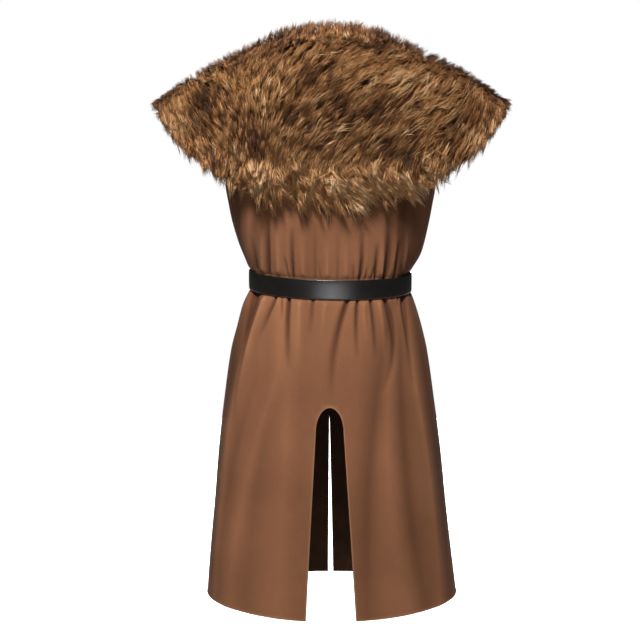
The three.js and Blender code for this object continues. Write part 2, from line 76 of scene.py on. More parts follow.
def make_floor():
    """A flat sheet of paper; the wearer's feet would stand on it."""
    floor_height, half_width, front, back = -1.46, 2.8, -2.6, 3.2
    bm = bmesh.new()
    bmesh.ops.create_grid(bm, x_segments=2, y_segments=2, size=0.5)
    for vert in bm.verts:
        vert.co.x *= 2 * half_width
        vert.co.y, vert.co.z = front + (back - front) * (vert.co.y + 0.5), floor_height
    floor = object_from(bm, "floor")
    paper = bpy.data.materials.new("floor_paper")
    paper.use_nodes = True
    shader = paper.node_tree.nodes["Principled BSDF"]
    socket_values(shader, Base_Color=(0.8, 0.8, 0.8, 1), Roughness=0.9, Emission_Strength=0.7)
    # The paper is evenly pale on every side, out past the lamps' reach, and lights nothing itself.
    seen = paper.node_tree.nodes.new("ShaderNodeLightPath")
    paper.node_tree.links.new(seen.outputs["Is Camera Ray"], shader.inputs["Emission Color"])
    floor.data.materials.append(paper)


def light_world():
    """A faint light from all round, which the camera sees as plain white."""
    world = bpy.data.worlds.new("studio")
    world.use_nodes = True
    nodes, links = world.node_tree.nodes, world.node_tree.links
    soft_light, white = nodes["Background"], nodes.new("ShaderNodeBackground")
    socket_values(soft_light, Color=(1, 1, 1, 1), Strength=0.06)
    socket_values(white, Color=(1, 1, 1, 1))
    either, path = nodes.new("ShaderNodeMixShader"), nodes.new("ShaderNodeLightPath")
    sources = (path.outputs["Is Camera Ray"], soft_light.outputs[0], white.outputs[0])
    for source, socket in zip(sources, either.inputs):
        links.new(source, socket)
    links.new(either.outputs[0], nodes["World Output"].inputs["Surface"])
    bpy.context.scene.world = world


make_floor()
light_world()
bpy.context.scene.view_settings.view_transform = "Standard"
bpy.context.scene.view_settings.look = "None"
area_light("key", (-0.36, -1.95, 2.15), (-0.08, 0, -0.16), 0.8, 56, (1, 0.985, 0.96), spread=76)
area_light("fill", (0.02, -2.9, -1.05), (0, 0, -0.42), 2.8, 2.2, (0.98, 0.99, 1), spread=40, height=0.9)
area_light("top", (0.1, -0.9, 1.6), (0, 0, -0.1), 1.2, 4)
area_light("front", (0.1, 2.6, 0.5), (0, 0, -0.5), 1.0, 9, spread=60)
area_light("backdrop", (0, 2.6, 2.6), (0, 2.7, -1.4), 1.4, 120, spread=82)

camera_data = bpy.data.cameras.new("camera")
camera_data.lens, camera_data.sensor_width = 75.94, 36
camera_data.shift_x = -0.018
camera_data.clip_end = 50
camera = add_object("camera", camera_data)
camera.location = (0, -2.70, -0.13)
looks_down = 8.55
camera.rotation_euler = (math.radians(90 - looks_down), 0, 0)
bpy.context.scene.camera = camera


# ---------------------------------------------------------------- tunic, back panel
# Brown wool cut in one with the shoulders, gathered by the belt. It has a tall arched vent from the hem,
# and its raw edges are turned to a narrow rolled hem. It is sewn to the front at the sides and shoulders.
BACK, FRONT = -1, 1
QUARTER = math.pi / 2


def columns(names, rows):
    """A table as a dictionary of its named columns."""
    return dict(zip(names.split(), np.array(rows, dtype=float).T))


def blend(a, b, share):
    return a + (b - a) * share


def smooth(share):
    """A share from 0 to 1 that starts and ends gently."""
    s = np.clip(share, 0, 1)
    return s * s * (3 - 2 * s)


def along(table, key, column, at):
    """A column of a table at given keys, on a smooth curve through its rows."""
    keys, values = table[key], table[column]
    last = len(keys) - 1
    low, high = np.maximum(np.arange(last + 1) - 1, 0), np.minimum(np.arange(last + 1) + 1, last)
    slope = (values[high] - values[low]) / (keys[high] - keys[low])
    i = np.clip(np.searchsorted(keys, at) - 1, 0, last - 1)
    step = keys[i + 1] - keys[i]
    t = np.clip((at - keys[i]) / step, 0, 1)
    start = values[i] * (1 + 2 * t) * (1 - t) ** 2 + slope[i] * step * t * (1 - t) ** 2
    return start + values[i + 1] * t * t * (3 - 2 * t) - slope[i + 1] * step * t * t * (1 - t)


# The body under the cloth: half widths to its left and right, and half its depth, at each height from the
# shoulder line down to the hem.
SECTIONS = columns(
    "z left right depth",
    [
        (-1110, 259, 260, 152),
        (-1001, 250, 246, 148),
        (-899, 240, 234, 144),
        (-797, 231, 223, 139),
        (-697, 219, 209, 133),
        (-597, 204, 194, 127),
        (-548, 191, 183, 123),
        (-506, 179, 171, 119),
        (-479, 166, 161, 116),
        (-474, 163, 158, 114),
        (-454, 163, 158, 114),
        (-434, 163, 158, 114),
        (-429, 166, 161, 116),
        (-402, 178, 177, 120),
        (-378, 187, 185, 122),
        (-334, 199, 195, 125),
        (-302, 205, 201, 126),
        (-262, 211, 207, 127),
        (0, 205, 201, 127),
    ],
)
# The heights of the hem, the armholes' low ends and the belt, the hem's dip at its middle, half the band
# that the belt draws in, and the gap that the solids leave between sewn pieces.
HEM, HEM_DIP, ARM_LEVEL = -1106, 11, -262
BELT, BAND = -454, 22
SEAM = 0.3
NECK_HALF, NECK_REACH, NECK_RISE = 95, {BACK: 74, FRONT: 84}, {BACK: 12, FRONT: -62}
SHOULDER_HEIGHT, SHOULDER_SLOPE, SHOULDER_ROUND = 14, 0.45, 200
ARMHOLE_HALF_WIDTH, ARMHOLE_HALF_HEIGHT, ARMHOLE_MIDDLE, ARMHOLE_INNER = 58, 118, -144, 128
VENT = {"centre": -3.5, "low_centre": -1, "half": 27, "hem": 50, "level": -735, "arch": 48}
SLIT = {"centre": -4.5, "low_centre": -2, "half": 0.2, "hem": 5.6, "level": -765, "arch": 0.5}


def turned(drop):
    """How far the shoulder has turned from flat, 0, to upright, 1, at a drop below its ridge."""
    return np.sqrt(1 - (1 - np.clip(drop / SHOULDER_ROUND, 0, 1)) ** 2)


def depth_at(drop, reach, full):
    """Half the depth at a drop below the ridge, from the reach of the neck opening to the full depth."""
    share = turned(drop)
    return ((reach * np.sqrt(1 - share**2)) ** 4 + (full * share) ** 4) ** 0.25


def neck_reach(x, facing, half):
    """How far the oval neck opening reaches to the back or the front at x."""
    return NECK_REACH[facing] * np.sqrt(np.maximum(1 - (x / half) ** 2, 0))


def half_sizes(level):
    """The body's half sizes at a height. Under the belt they are even."""
    at = np.where(np.abs(level - BELT) < BAND - 1.4, BELT, level)
    return [along(SECTIONS, "z", column, at) for column in ("left", "right", "depth")]


def place_on(sizes, turn, facing):
    """A point on the body's outline and the way out from it, at a turn from the middle of a panel."""
    left, right, depth = sizes
    half = blend(left, right, (1 + np.sin(turn)) / 2)
    x, y = half * np.sin(turn), facing * depth * np.cos(turn)
    out_x, out_y = x / half**2, y / depth**2
    length = np.hypot(out_x, out_y)
    return x, y, out_x / length, out_y / length


def belt_sag(x, y):
    """The belt hangs lower at the middle of the back and to the wearer's right."""
    return -3 * x / 160 - 6 * np.clip(-y / 114, 0, 1)


def middle_of(opening, z):
    """The x of the middle of the vent or slit at a height."""
    below = np.clip((opening["level"] - z) / (opening["level"] - HEM), 0, 1)
    return blend(opening["centre"], opening["low_centre"], below)


def edge_half(opening, z):
    """Half the width of the vent or slit at a height."""
    below = np.clip((opening["level"] - z) / (opening["level"] - HEM), 0, None)
    rise = np.clip((z - opening["level"]) / opening["arch"], 0, 1)
    return np.where(
        z <= opening["level"],
        blend(opening["half"], opening["hem"], below),
        opening["half"] * np.sqrt(1 - rise**2),
    )


def edge_distance(opening, x, z):
    """How far a point of the cloth is from the edge of the vent or slit."""
    across = np.abs(x - middle_of(opening, z))
    up = np.maximum(z - opening["level"], 0)
    ring = np.hypot(across / opening["half"], up / opening["arch"])
    slant = np.hypot(across / opening["half"] ** 2, up / opening["arch"] ** 2) / np.maximum(ring, 1e-6)
    above = (ring - 1) / np.maximum(slant, 1e-6)
    return np.where(z > opening["level"], above, across - edge_half(opening, z))


# Creases: three points (x, z) from the belt to where a crease dies out, its half width, its depth (less
# than nothing is a ridge), and how much steeper its right side is than its left.
CREASE = "x0 z0 x1 z1 x2 z2 width depth lean"
CREASES_BACK = columns(
    CREASE,
    [
        (-148, -423, -151, -398, -156, -366, 6, 2.5, 0.0),
        (-134, -431, -136, -392, -134, -340, 7, -2.4, 0.0),
        (-122, -431, -123, -382, -122, -318, 6.5, 6.0, 0.3),
        (-103, -433, -104, -396, -106, -350, 8, -2.2, 0.0),
        (-84, -434, -87, -417, -91, -396, 4, 3.4, 0.2),
        (-75, -436, -77, -392, -76, -336, 5.5, 5.6, -0.2),
        (-54, -436, -56, -400, -54, -346, 9, -2.4, 0.0),
        (-31, -438, -31, -382, -31, -330, 5.5, 2.0, 0.1),
        (-21, -438, -23, -421, -24, -405, 3.6, 2.2, 0.0),
        (-8, -438, -8, -402, -10, -360, 8, -1.6, 0.0),
        (12, -438, 12, -382, 11, -325, 5.5, 1.5, -0.1),
        (29, -438, 28, -404, 27, -366, 7, -1.8, 0.0),
        (43, -438, 43, -425, 42, -408, 3.8, 3.0, 0.0),
        (56, -438, 60, -398, 58, -348, 6, 5.6, 0.2),
        (66, -438, 67, -429, 68, -417, 3.4, 2.8, 0.0),
        (78, -438, 80, -429, 82, -414, 3.6, 3.0, 0.0),
        (86, -436, 88, -405, 90, -372, 5, 5.2, 0.3),
        (97, -436, 99, -400, 98, -352, 6, -2.4, 0.0),
        (106, -434, 112, -382, 107, -318, 9, 5.4, 0.1),
        (124, -433, 128, -405, 133, -364, 5.5, 5.4, -0.2),
        (143, -421, 147, -392, 148, -350, 6, -2.6, 0.0),
        (-152, -478, -176, -560, -210, -740, 20, 5.0, 0.0),
        (-130, -475, -154, -539, -192, -720, 8, -4.0, -0.4),
        (-109, -479, -125, -516, -144, -560, 6.5, 4.4, 0.2),
        (-97, -481, -97, -500, -98, -524, 4, 3.4, 0.0),
        (-84, -479, -87, -539, -84, -622, 7, 6.2, -0.2),
        (-62, -480, -64, -540, -66, -618, 10, -2.6, 0.0),
        (-36, -481, -39, -510, -42, -548, 6, 3.2, 0.0),
        (-12, -481, -16, -520, -22, -566, 8, -1.6, 0.0),
        (32, -481, 14, -541, 1, -676, 10, 4.6, 0.2),
        (51, -481, 49, -539, 53, -600, 5.5, 5.0, 0.2),
        (63, -480, 64, -520, 70, -566, 6.5, -2.2, 0.0),
        (76, -480, 82, -523, 87, -596, 6, 4.4, 0.0),
        (92, -481, 100, -530, 104, -600, 8, -2.2, 0.0),
        (106, -483, 122, -549, 100, -664, 9, 4.6, 0.2),
        (131, -475, 131, -487, 130, -502, 4, 2.8, 0.0),
        (143, -481, 150, -553, 166, -666, 8, 5.6, 0.1),
    ],
)
# Broad folds of the skirt: three points from where a fold begins to the hem, half width and depth.
FOLD = "x0 z0 x1 z1 x2 z2 width depth lean"
FOLDS_BACK = columns(
    FOLD,
    [
        (-212, -670, -236, -880, -252, -1130, 10, 3.2, 0.0),
        (-194, -660, -222, -880, -242, -1130, 7, -2.8, 0.0),
        (-190, -780, -214, -900, -234, -1130, 10, 1.3, 0.0),
        (-150, -770, -182, -905, -212, -1130, 12, -2.0, 0.0),
        (-146, -840, -166, -1000, -176, -1130, 22, 1.2, 0.0),
        (-90, -780, -98, -930, -110, -1130, 24, -1.6, 0.0),
        (-56, -560, -62, -700, -70, -1130, 24, 0.9, 0.0),
        (94, -640, 76, -800, 74, -1130, 24, 4.0, 0.2),
        (112, -680, 118, -860, 166, -1130, 14, -1.0, 0.0),
        (138, -640, 152, -860, 196, -1130, 19, 4.2, 0.0),
        (168, -660, 192, -800, 222, -1130, 8, -2.6, 0.0),
        (196, -680, 224, -880, 246, -1130, 15, 3.4, 0.0),
    ],
)


def crease_height(table, x, z, swell, fade, narrow):
    """How far creases push the cloth out at points x, z. Troughs have raised, soft shoulders."""
    height = np.zeros_like(x)
    for x0, z0, x1, z1, x2, z2, width, depth, lean in zip(*(table[name] for name in CREASE.split())):
        along_path = np.clip((z - z0) / (z2 - z0), -0.4, 1.5)
        kink = (z1 - z0) / (z2 - z0)
        bend = (x1 - blend(x0, x2, kink)) / (kink * (kink - 1))
        middle = blend(x0, x2, along_path) + bend * along_path * (along_path - 1)
        spread = narrow * width * (1 + 0.6 * np.clip(along_path, 0, 1))
        q = (x - middle) / (spread * (1 + lean * np.sign(middle - x)))
        profile = np.exp(-(np.abs(q) ** 1.4)) - 0.3 * np.exp(-((q / 2.3) ** 2))
        run = smooth(along_path / swell + 1.3) * np.clip(1 - along_path, 0, 1) ** fade
        height -= 1.75 * depth * profile * run
    return height


def cloth_form(facing, across, level, over, creases, folds, opening):
    """Points of a panel's outer face, how near each is to a rolled edge, and a tone: how far it stands out,
    with painted shade and light.

    Across runs from one side seam, -1, to the other, 1. Above the arm level, over is the share of the way
    to the shoulder."""
    turn = across * QUARTER
    x, y, out_x, out_y = place_on(half_sizes(level), turn, facing)
    down = np.clip((BELT - level) / (BELT - HEM), 0, 1)
    z = level + belt_sag(x, y) * np.exp(-(((level - BELT) / 110) ** 2))
    z -= HEM_DIP * (down * np.cos(turn)) ** 2
    off_belt = np.abs(level - BELT) - BAND
    broad = crease_height(folds, x, z, swell=0.55, fade=0.0, narrow=1.0)
    # The folds are partly ironed out, and most of all near the hem.
    flat = blend(0.5, 0.85, smooth((-940 - z) / 150))
    height = 1.28 * crease_height(creases, x, z, swell=0.12, fade=0.8, narrow=0.57) + broad * (1 - flat)
    height *= smooth((1 - np.abs(across)) / 0.07)
    height = np.where(
        height > 0, height * smooth(off_belt / 8), height * blend(0.6, 1, smooth((off_belt + 5) / 7))
    )
    # The rolled hem, and small puckers round the top of the vent.
    edge = np.where(z < opening["level"] + 60, edge_distance(opening, x, z), 99)
    hem = level - HEM
    near = np.minimum(np.abs(edge), hem)
    roll = 0.9 * np.exp(-(((near - 2.0) / 1.7) ** 2))
    angle = np.arctan2(z - opening["level"], x - opening["centre"])
    pucker = np.sin(angle * 11 + 0.6 * np.sin(angle * 5)) * np.exp(-np.abs(edge) / 7) * smooth(edge / 3)
    height += roll + 0.55 * pucker * smooth((z - opening["level"] + 30) / 30)
    x, y = x + out_x * height, y + out_y * height
    # At the sides the edges turn in and meet in a sewn seam.
    upper = over > 0
    seam = np.where(upper, 0, np.exp(-((y / 1.5) ** 2)))
    x = x - np.sign(x) * 1.1 * seam
    meet = facing * (SEAM / 2 - 0.5 * seam**2)
    # Over the shoulder the cloth turns from upright to lying on it.
    top_x = place_on(half_sizes(np.zeros_like(level)), turn, facing)[0]
    outside = np.abs(top_x) > NECK_HALF
    rise = NECK_RISE[facing] * (1 - np.clip(np.abs(top_x) / NECK_HALF, 0, 1) ** 2) ** 2
    ridge = SHOULDER_HEIGHT + np.where(outside, -SHOULDER_SLOPE * (np.abs(top_x) - NECK_HALF), rise)
    drop = (ridge - ARM_LEVEL) * (1 - over) ** 1.8
    upper_y = facing * depth_at(drop, neck_reach(top_x, facing, NECK_HALF), np.abs(y))
    points = np.stack(
        [
            np.where(upper, blend(x, top_x, over), x),
            np.where(upper, upper_y, y) + meet,
            np.where(upper, ridge - drop, z),
        ],
        axis=-1,
    )
    # Painted shade and light in the tone: the ironed-out folds keep part of their shading, and the cloth is
    # darker in the crease of the side seam, over the sides and above the belt, under the fur.
    shade = 2.5 * seam + 1.7 * smooth((np.abs(across) - 0.5) / 0.4) + 0.9 * smooth((level - BELT) / 80)
    return points, near, height + 0.45 * broad * flat - shade


def across_of(x, level):
    """The share of the way across a panel at which its point at x lies."""
    left, right, _ = half_sizes(level)
    sine = x / ((left + right) / 2)
    for _ in range(6):
        sine = x / blend(left, right, (1 + sine) / 2)
    return np.arcsin(np.clip(sine, -1, 1)) / QUARTER


def steps_between(low, high, step):
    """Even steps of about the given size, without the first point."""
    count = max(round(abs(high - low) / step), 1)
    return list(np.linspace(low, high, count + 1)[1:])


def panel_levels(opening, coarse):
    """Heights of a panel's rows from the hem up, and the share over the shoulder above the arm level."""
    near_belt, under_arm = 62, -330
    levels = [HEM, HEM + 0.9, HEM + 1.9, HEM + 3.0, HEM + 4.4, HEM + 6.5, HEM + 10]
    levels += steps_between(levels[-1], opening["level"], 7.0 * coarse)
    arch = opening["arch"]
    if arch > 5:
        count = 14
        levels += [opening["level"] + arch * math.sin(QUARTER * i / count) for i in range(1, count + 1)]
        for gap in (1.2, 2.6, 4.4, 7.0):
            levels.append(opening["level"] + arch + gap)
    else:
        levels.append(opening["level"] + 4)
    levels += steps_between(levels[-1], BELT - near_belt, 5.4 * coarse)
    levels += steps_between(BELT - near_belt, BELT - BAND, 3.6 * coarse)
    levels += [BELT + gap for gap in (-20.6, -10, 0, 10, 20.6, 22)]
    levels += steps_between(BELT + BAND, BELT + near_belt, 3.4 * coarse)
    levels += steps_between(BELT + near_belt, under_arm, 5.0 * coarse)
    levels += steps_between(under_arm, ARM_LEVEL, 11)
    overs = [0.0] * len(levels)
    rows_over = 18
    levels += [ARM_LEVEL] * rows_over
    overs += [((i + 1) / rows_over) ** 1.4 for i in range(rows_over)]
    return np.array(levels, float), np.array(overs)


def face_outwards(bm, near):
    """Turn an open sheet's faces so that the face nearest to a point looks away from the body."""
    bmesh.ops.recalc_face_normals(bm, faces=bm.faces)
    middle = min(bm.faces, key=lambda face: (face.calc_center_median() - Vector(near)).length)
    if middle.normal.y * near[1] < 0:
        bmesh.ops.reverse_faces(bm, faces=bm.faces)


def give_wall(sheet, thickness):
    """A sheet's own thickness, inwards from its outer face."""
    sheet.data.shade_smooth()
    wall = sheet.modifiers.new("thickness", "SOLIDIFY")
    wall.thickness, wall.offset = thickness, -1
    return wall


def tunic_panel(name, facing, opening, creases, folds, cols, coarse):
    """One panel: a grid on each side of its vent or slit, joined above it, with a thin wall inwards.

    The columns are close together at the rolled edge and at the side seam."""
    levels, overs = panel_levels(opening, coarse)
    half_panel = 360
    first = np.array([0, 0.9, 1.9, 3.0, 4.4, 6.5, 9.5]) / half_panel
    last = [0.9935, 0.997, 1]
    shares = np.concatenate([first, np.linspace(first[-1], 1, cols)[1:-1], last])
    count = 301
    samples = np.linspace(0, 1, count)
    grids, marks = [], []
    for side in (-1, 1):
        points, tone = [], []
        for level, over in zip(levels, overs):
            start_x = float(middle_of(opening, level) + side * edge_half(opening, level))
            start = float(across_of(np.array(start_x), np.array(level)))
            end = float(side)
            if over > 0:
                # The side edge follows the armhole.
                line = samples * side
                at = cloth_form(
                    facing, line, np.full(count, level), np.full(count, over), creases, folds, opening
                )[0]
                up = (at[:, 2] - ARMHOLE_MIDDLE) / ARMHOLE_HALF_HEIGHT
                ring = (at[:, 1] / ARMHOLE_HALF_WIDTH) ** 2 + up**2 - 1
                inside = np.nonzero((ring < 0) & (np.abs(at[:, 0]) > ARMHOLE_INNER))[0]
                if len(inside):
                    k = inside[0]
                    part = ring[k - 1] / (ring[k - 1] - ring[k]) if ring[k - 1] > 0 else 0
                    end = side * float(blend(samples[k - 1], samples[k], part))
            across = blend(start, end, shares)
            at, near, height = cloth_form(
                facing, across, np.full(len(shares), level), np.full(len(shares), over), creases, folds,
                opening,
            )
            points.append(at)
            # Marks for the colour: nearness to the rolled edge, for its painted highlight, and the tone,
            # with its painted shade and light.
            rim = np.exp(-((np.maximum(near - 0.4, 0) / 1.1) ** 2))
            tone.append(np.stack([rim, np.clip(0.5 + height / 14, 0, 1)], axis=-1))
        grids.append(np.array(points))
        marks.append(np.array(tone))

    bm = bmesh.new()
    rim_layer = bm.verts.layers.float_color.new("cloth_edge_and_shade")
    weave_layer = bm.loops.layers.uv.new("weave")
    rows, last_col = len(levels) - 1, len(shares) - 1
    for points, tone in zip(grids, marks):
        made = bmesh.ops.create_grid(bm, x_segments=last_col, y_segments=rows, size=0.5)["verts"]
        where = {}
        for vert in made:
            j, i = round((vert.co.x + 0.5) * last_col), round((vert.co.y + 0.5) * rows)
            vert.co = points[i, j] / 1000
            vert[rim_layer] = (tone[i, j, 0], tone[i, j, 1], 0, 1)
            where[vert] = (i, j)
        lengths = np.cumsum(np.linalg.norm(np.diff(points, axis=1, prepend=points[:, :1]), axis=2), axis=1)
        for face in {face for vert in made for face in vert.link_faces}:
            for loop in face.loops:
                i, j = where[loop.vert]
                loop[weave_layer].uv = (lengths[i, j] / 1000, points[i, j, 2] / 1000)
    bmesh.ops.remove_doubles(bm, verts=bm.verts, dist=1e-5)
    bmesh.ops.dissolve_degenerate(bm, dist=1e-6, edges=bm.edges)
    face_outwards(bm, (0.06, 0.13 * facing, -0.6))
    panel = object_from(bm, name)
    wall = give_wall(panel, 0.0014)
    wall.use_quality_normals = True
    wall.material_offset, wall.material_offset_rim = 1, 2
    return panel


def make_patches():
    """Uneven patches in wool, leather, iron and hide: soft noise, spread between two levels to a mask."""
    group = bpy.data.node_groups.new("patches", "ShaderNodeTree")
    for name in ("Vector", "Scale", "Detail", "Low", "High"):
        kind = "NodeSocketVector" if name == "Vector" else "NodeSocketFloat"
        group.interface.new_socket(name, in_out="INPUT", socket_type=kind)
    group.interface.new_socket("Mask", in_out="OUTPUT", socket_type="NodeSocketFloat")
    given, made = group.nodes.new("NodeGroupInput").outputs, group.nodes.new("NodeGroupOutput").inputs
    noise, spread = group.nodes.new("ShaderNodeTexNoise"), group.nodes.new("ShaderNodeMapRange")
    noise.inputs["Roughness"].default_value = 0.55
    for name in ("Vector", "Scale", "Detail"):
        group.links.new(given[name], noise.inputs[name])
    group.links.new(noise.outputs["Fac"], spread.inputs[0])
    group.links.new(given["Low"], spread.inputs[1])
    group.links.new(given["High"], spread.inputs[2])
    group.links.new(spread.outputs[0], made["Mask"])
    return group


PATCHES = make_patches()


class Nodes:
    """A short way to write a material's nodes. A number after an underscore names a socket by its place."""

    def __init__(self, material):
        self.tree = material.node_tree
        self.shader = self.tree.nodes["Principled BSDF"]

    def add(self, kind, settings=None, **inputs):
        node = self.tree.nodes.new(kind)
        for name, value in (settings or {}).items():
            setattr(node, name, value)
        for name, value in inputs.items():
            socket = node.inputs[int(name[1:])] if name[0] == "_" else node.inputs[name.replace("_", " ")]
            if isinstance(value, bpy.types.NodeSocket):
                self.tree.links.new(value, socket)
            else:
                socket.default_value = value
        return node

    def math(self, operation, a, b=0.0):
        return self.add("ShaderNodeMath", {"operation": operation}, _0=a, _1=b).outputs[0]

    def mix(self, share, a, b, kind="MIX"):
        node = self.add("ShaderNodeMix", {"data_type": "RGBA", "blend_type": kind}, _0=share, _6=a, _7=b)
        return node.outputs[2]

    def spread(self, value, low, high, to_low=0.0, to_high=1.0):
        ends = {"_1": low, "_2": high, "_3": to_low, "_4": to_high}
        return self.add("ShaderNodeMapRange", _0=value, **ends).outputs[0]

    def patches(self, scale, detail, low=0.0, high=1.0):
        place = self.add("ShaderNodeTexCoord").outputs["Object"]
        values = {"Vector": place, "Scale": scale, "Detail": detail, "Low": low, "High": high}
        return self.add("ShaderNodeGroup", {"node_tree": PATCHES}, **values).outputs["Mask"]

    def link(self, socket, name):
        self.tree.links.new(socket, self.shader.inputs[name])

    def bump(self, height, distance, strength=1.0, normal=None):
        node = self.add("ShaderNodeBump", Height=height, Distance=distance, Strength=strength)
        if normal is not None:
            self.tree.links.new(normal, node.inputs["Normal"])
        return node.outputs["Normal"]


def new_material(name, **values):
    material = bpy.data.materials.new(name)
    material.use_nodes = True
    nodes = Nodes(material)
    socket_values(nodes.shader, **values)
    return material, nodes


def shades(color, low, high):
    """Two shades of a colour, as shares of it."""
    return [(*(part * share for part in color), 1) for share in (low, high)]


def wool(name, light, dark, rim):
    """Smooth fulled twill: a fine diagonal weave, a soft nap, painted shade in troughs and at the sides,
    ridges lighter from wear and painted light, and a painted highlight along the rolled edges.
    """
    material, n = new_material(
        name, Roughness=0.9, Sheen_Weight=0.02, Sheen_Roughness=0.45, Specular_IOR_Level=0.08
    )
    n.shader.inputs["Sheen Tint"].default_value = (0.9, 0.72, 0.58, 1)
    marks = n.add("ShaderNodeAttribute", {"attribute_name": "cloth_edge_and_shade"}).outputs["Color"]
    near_edge, relief_and_painted_shade = n.add("ShaderNodeSeparateColor", Color=marks).outputs[:2]
    uv = n.add("ShaderNodeUVMap", {"uv_map": "weave"}).outputs[0]
    color = n.mix(n.patches(5.5, 4, 0.32, 0.7), (*dark, 1), (*light, 1))
    fibre = n.math("MULTIPLY", n.patches(420, 4, 0.3, 0.75), 0.22)
    color = n.mix(fibre, color, (light[0] * 1.35, light[1] * 1.35, light[2] * 1.4, 1))
    # Painted shade and light: a low tone darkens troughs, the side seams, the sides and the cloth above the
    # belt, and a high tone lightens ridges, partly as wear.
    painted_shade_and_wear = n.mix(n.spread(relief_and_painted_shade, 0.12, 0.72), (0.36, 0.32, 0.30, 1), (1.25, 1.25, 1.24, 1))
    color = n.mix(1.0, color, painted_shade_and_wear, "MULTIPLY")
    # Painted highlight: a lighter colour along the rolled edges of the hem, the vent and the slit.
    n.link(n.mix(n.math("MULTIPLY", near_edge, 0.3), color, (*rim, 1)), "Base Color")
    twill = n.add(
        "ShaderNodeTexWave",
        {"wave_type": "BANDS", "bands_direction": "DIAGONAL"},
        Vector=uv,
        Scale=260.0,
        Distortion=1.2,
        Detail=2.0,
    ).outputs["Fac"]
    weave = n.bump(twill, 0.00012, 0.5)
    n.link(n.bump(n.patches(60, 4), 0.0012, 0.3, weave), "Normal")
    return material


def plain_wool(name, color, low, high):
    """The same wool at its turned edges, or on its wrong side darkened near to black as painted shade inside
    the hollow, each with an uneven dye.
    """
    material, n = new_material(name, Roughness=0.92, Specular_IOR_Level=0.15)
    n.link(n.mix(n.patches(30, 4, 0.3, 0.7), *shades(color, low, high)), "Base Color")
    n.link(n.bump(n.patches(500, 3), 0.0002, 0.4), "Normal")
    return material


# The third colour is the painted highlight of the rolled edges.
wool_outside = wool("tunic_wool", (0.147, 0.064, 0.032), (0.112, 0.048, 0.0238), (0.30, 0.175, 0.115))
# Painted shade: the wrong side is near black, for the shade inside the hollow garment.
painted_shade_wool_inside = plain_wool("tunic_wool_inside", (0.020, 0.007, 0.002), 0.7, 1.2)
wool_edge = plain_wool("tunic_wool_edge", (0.13, 0.064, 0.034), 0.8, 1.15)


def dress_tunic(panel):
    for material in (wool_outside, painted_shade_wool_inside, wool_edge):
        panel.data.materials.append(material)
    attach(panel, "root")


tunic_back = tunic_panel("tunic_back_cloth", BACK, VENT, CREASES_BACK, FOLDS_BACK, 98, 1.0)
dress_tunic(tunic_back)
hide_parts("tunic_back")


# ---------------------------------------------------------------- tunic, front panel
# The other half of the body, of the same brown wool, gathered by the belt in the same way. It has a lower
# neckline, and a narrow walking slit from the middle of its hem.
CREASES_FRONT = columns(
    CREASE,
    [
        (-146, -428, -150, -396, -152, -352, 6, 3.0, 0.0),
        (-126, -431, -129, -386, -134, -326, 6.5, 5.6, -0.2),
        (-110, -432, -113, -400, -116, -356, 7, -2.2, 0.0),
        (-97, -433, -100, -396, -104, -348, 5.5, 4.8, 0.2),
        (-76, -433, -77, -404, -80, -360, 8, -2.2, 0.0),
        (-60, -432, -60, -416, -62, -394, 4, 3.0, 0.0),
        (-49, -432, -51, -392, -54, -344, 5.5, 4.6, 0.1),
        (58, -432, 58, -398, 56, -340, 5.5, 4.6, -0.1),
        (70, -432, 71, -414, 74, -392, 4, 3.0, 0.0),
        (84, -432, 86, -398, 90, -352, 8, -2.4, 0.0),
        (101, -431, 104, -384, 106, -322, 6.5, 5.4, 0.2),
        (119, -431, 121, -404, 124, -370, 5, 3.8, 0.0),
        (140, -430, 144, -396, 148, -350, 7, -2.4, 0.0),
        (-140, -476, -158, -548, -176, -660, 8, 5.0, -0.1),
        (-124, -476, -136, -548, -150, -640, 9, -2.8, 0.0),
        (-106, -477, -118, -536, -132, -610, 7, 5.0, 0.2),
        (-82, -477, -84, -510, -88, -556, 5, 3.2, 0.0),
        (-60, -477, -64, -548, -70, -636, 8, 5.2, -0.2),
        (-34, -477, -38, -530, -46, -590, 9, -2.0, 0.0),
        (30, -477, 34, -530, 40, -600, 9, -2.0, 0.0),
        (56, -477, 58, -545, 64, -640, 7, 5.2, 0.2),
        (78, -477, 80, -506, 82, -548, 5, 3.4, 0.0),
        (98, -477, 110, -546, 124, -650, 8, 5.8, 0.1),
        (118, -477, 130, -540, 144, -620, 8, -2.6, 0.0),
        (136, -477, 148, -532, 160, -610, 7, 4.6, 0.0),
    ],
)
FOLDS_FRONT = columns(
    FOLD,
    [
        (-168, -640, -204, -850, -228, -1130, 18, -4.4, 0.0),
        (-128, -660, -158, -860, -182, -1130, 20, 5.4, 0.0),
        (-88, -690, -108, -880, -126, -1130, 22, -3.4, 0.0),
        (-50, -660, -58, -860, -66, -1130, 18, 3.6, 0.0),
        (46, -640, 52, -860, 60, -1130, 18, 3.4, 0.0),
        (84, -700, 98, -880, 112, -1130, 20, -3.6, 0.0),
        (120, -660, 148, -860, 166, -1130, 18, 5.6, 0.0),
        (164, -640, 196, -850, 216, -1130, 18, -4.2, 0.0),
    ],
)
tunic_front = tunic_panel("tunic_front_cloth", FRONT, SLIT, CREASES_FRONT, FOLDS_FRONT, 64, 1.25)
dress_tunic(tunic_front)
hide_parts("tunic_front")


# ---------------------------------------------------------------- belt strap
# Black bridle leather, 38 mm wide and 3 mm thick, with burnished round edges and a slightly domed
# face. It goes once round the waist, through the buckle and the keeper, and ends in a free tail.
STRAP_HALF, STRAP_THICK = 19.0, 3.0


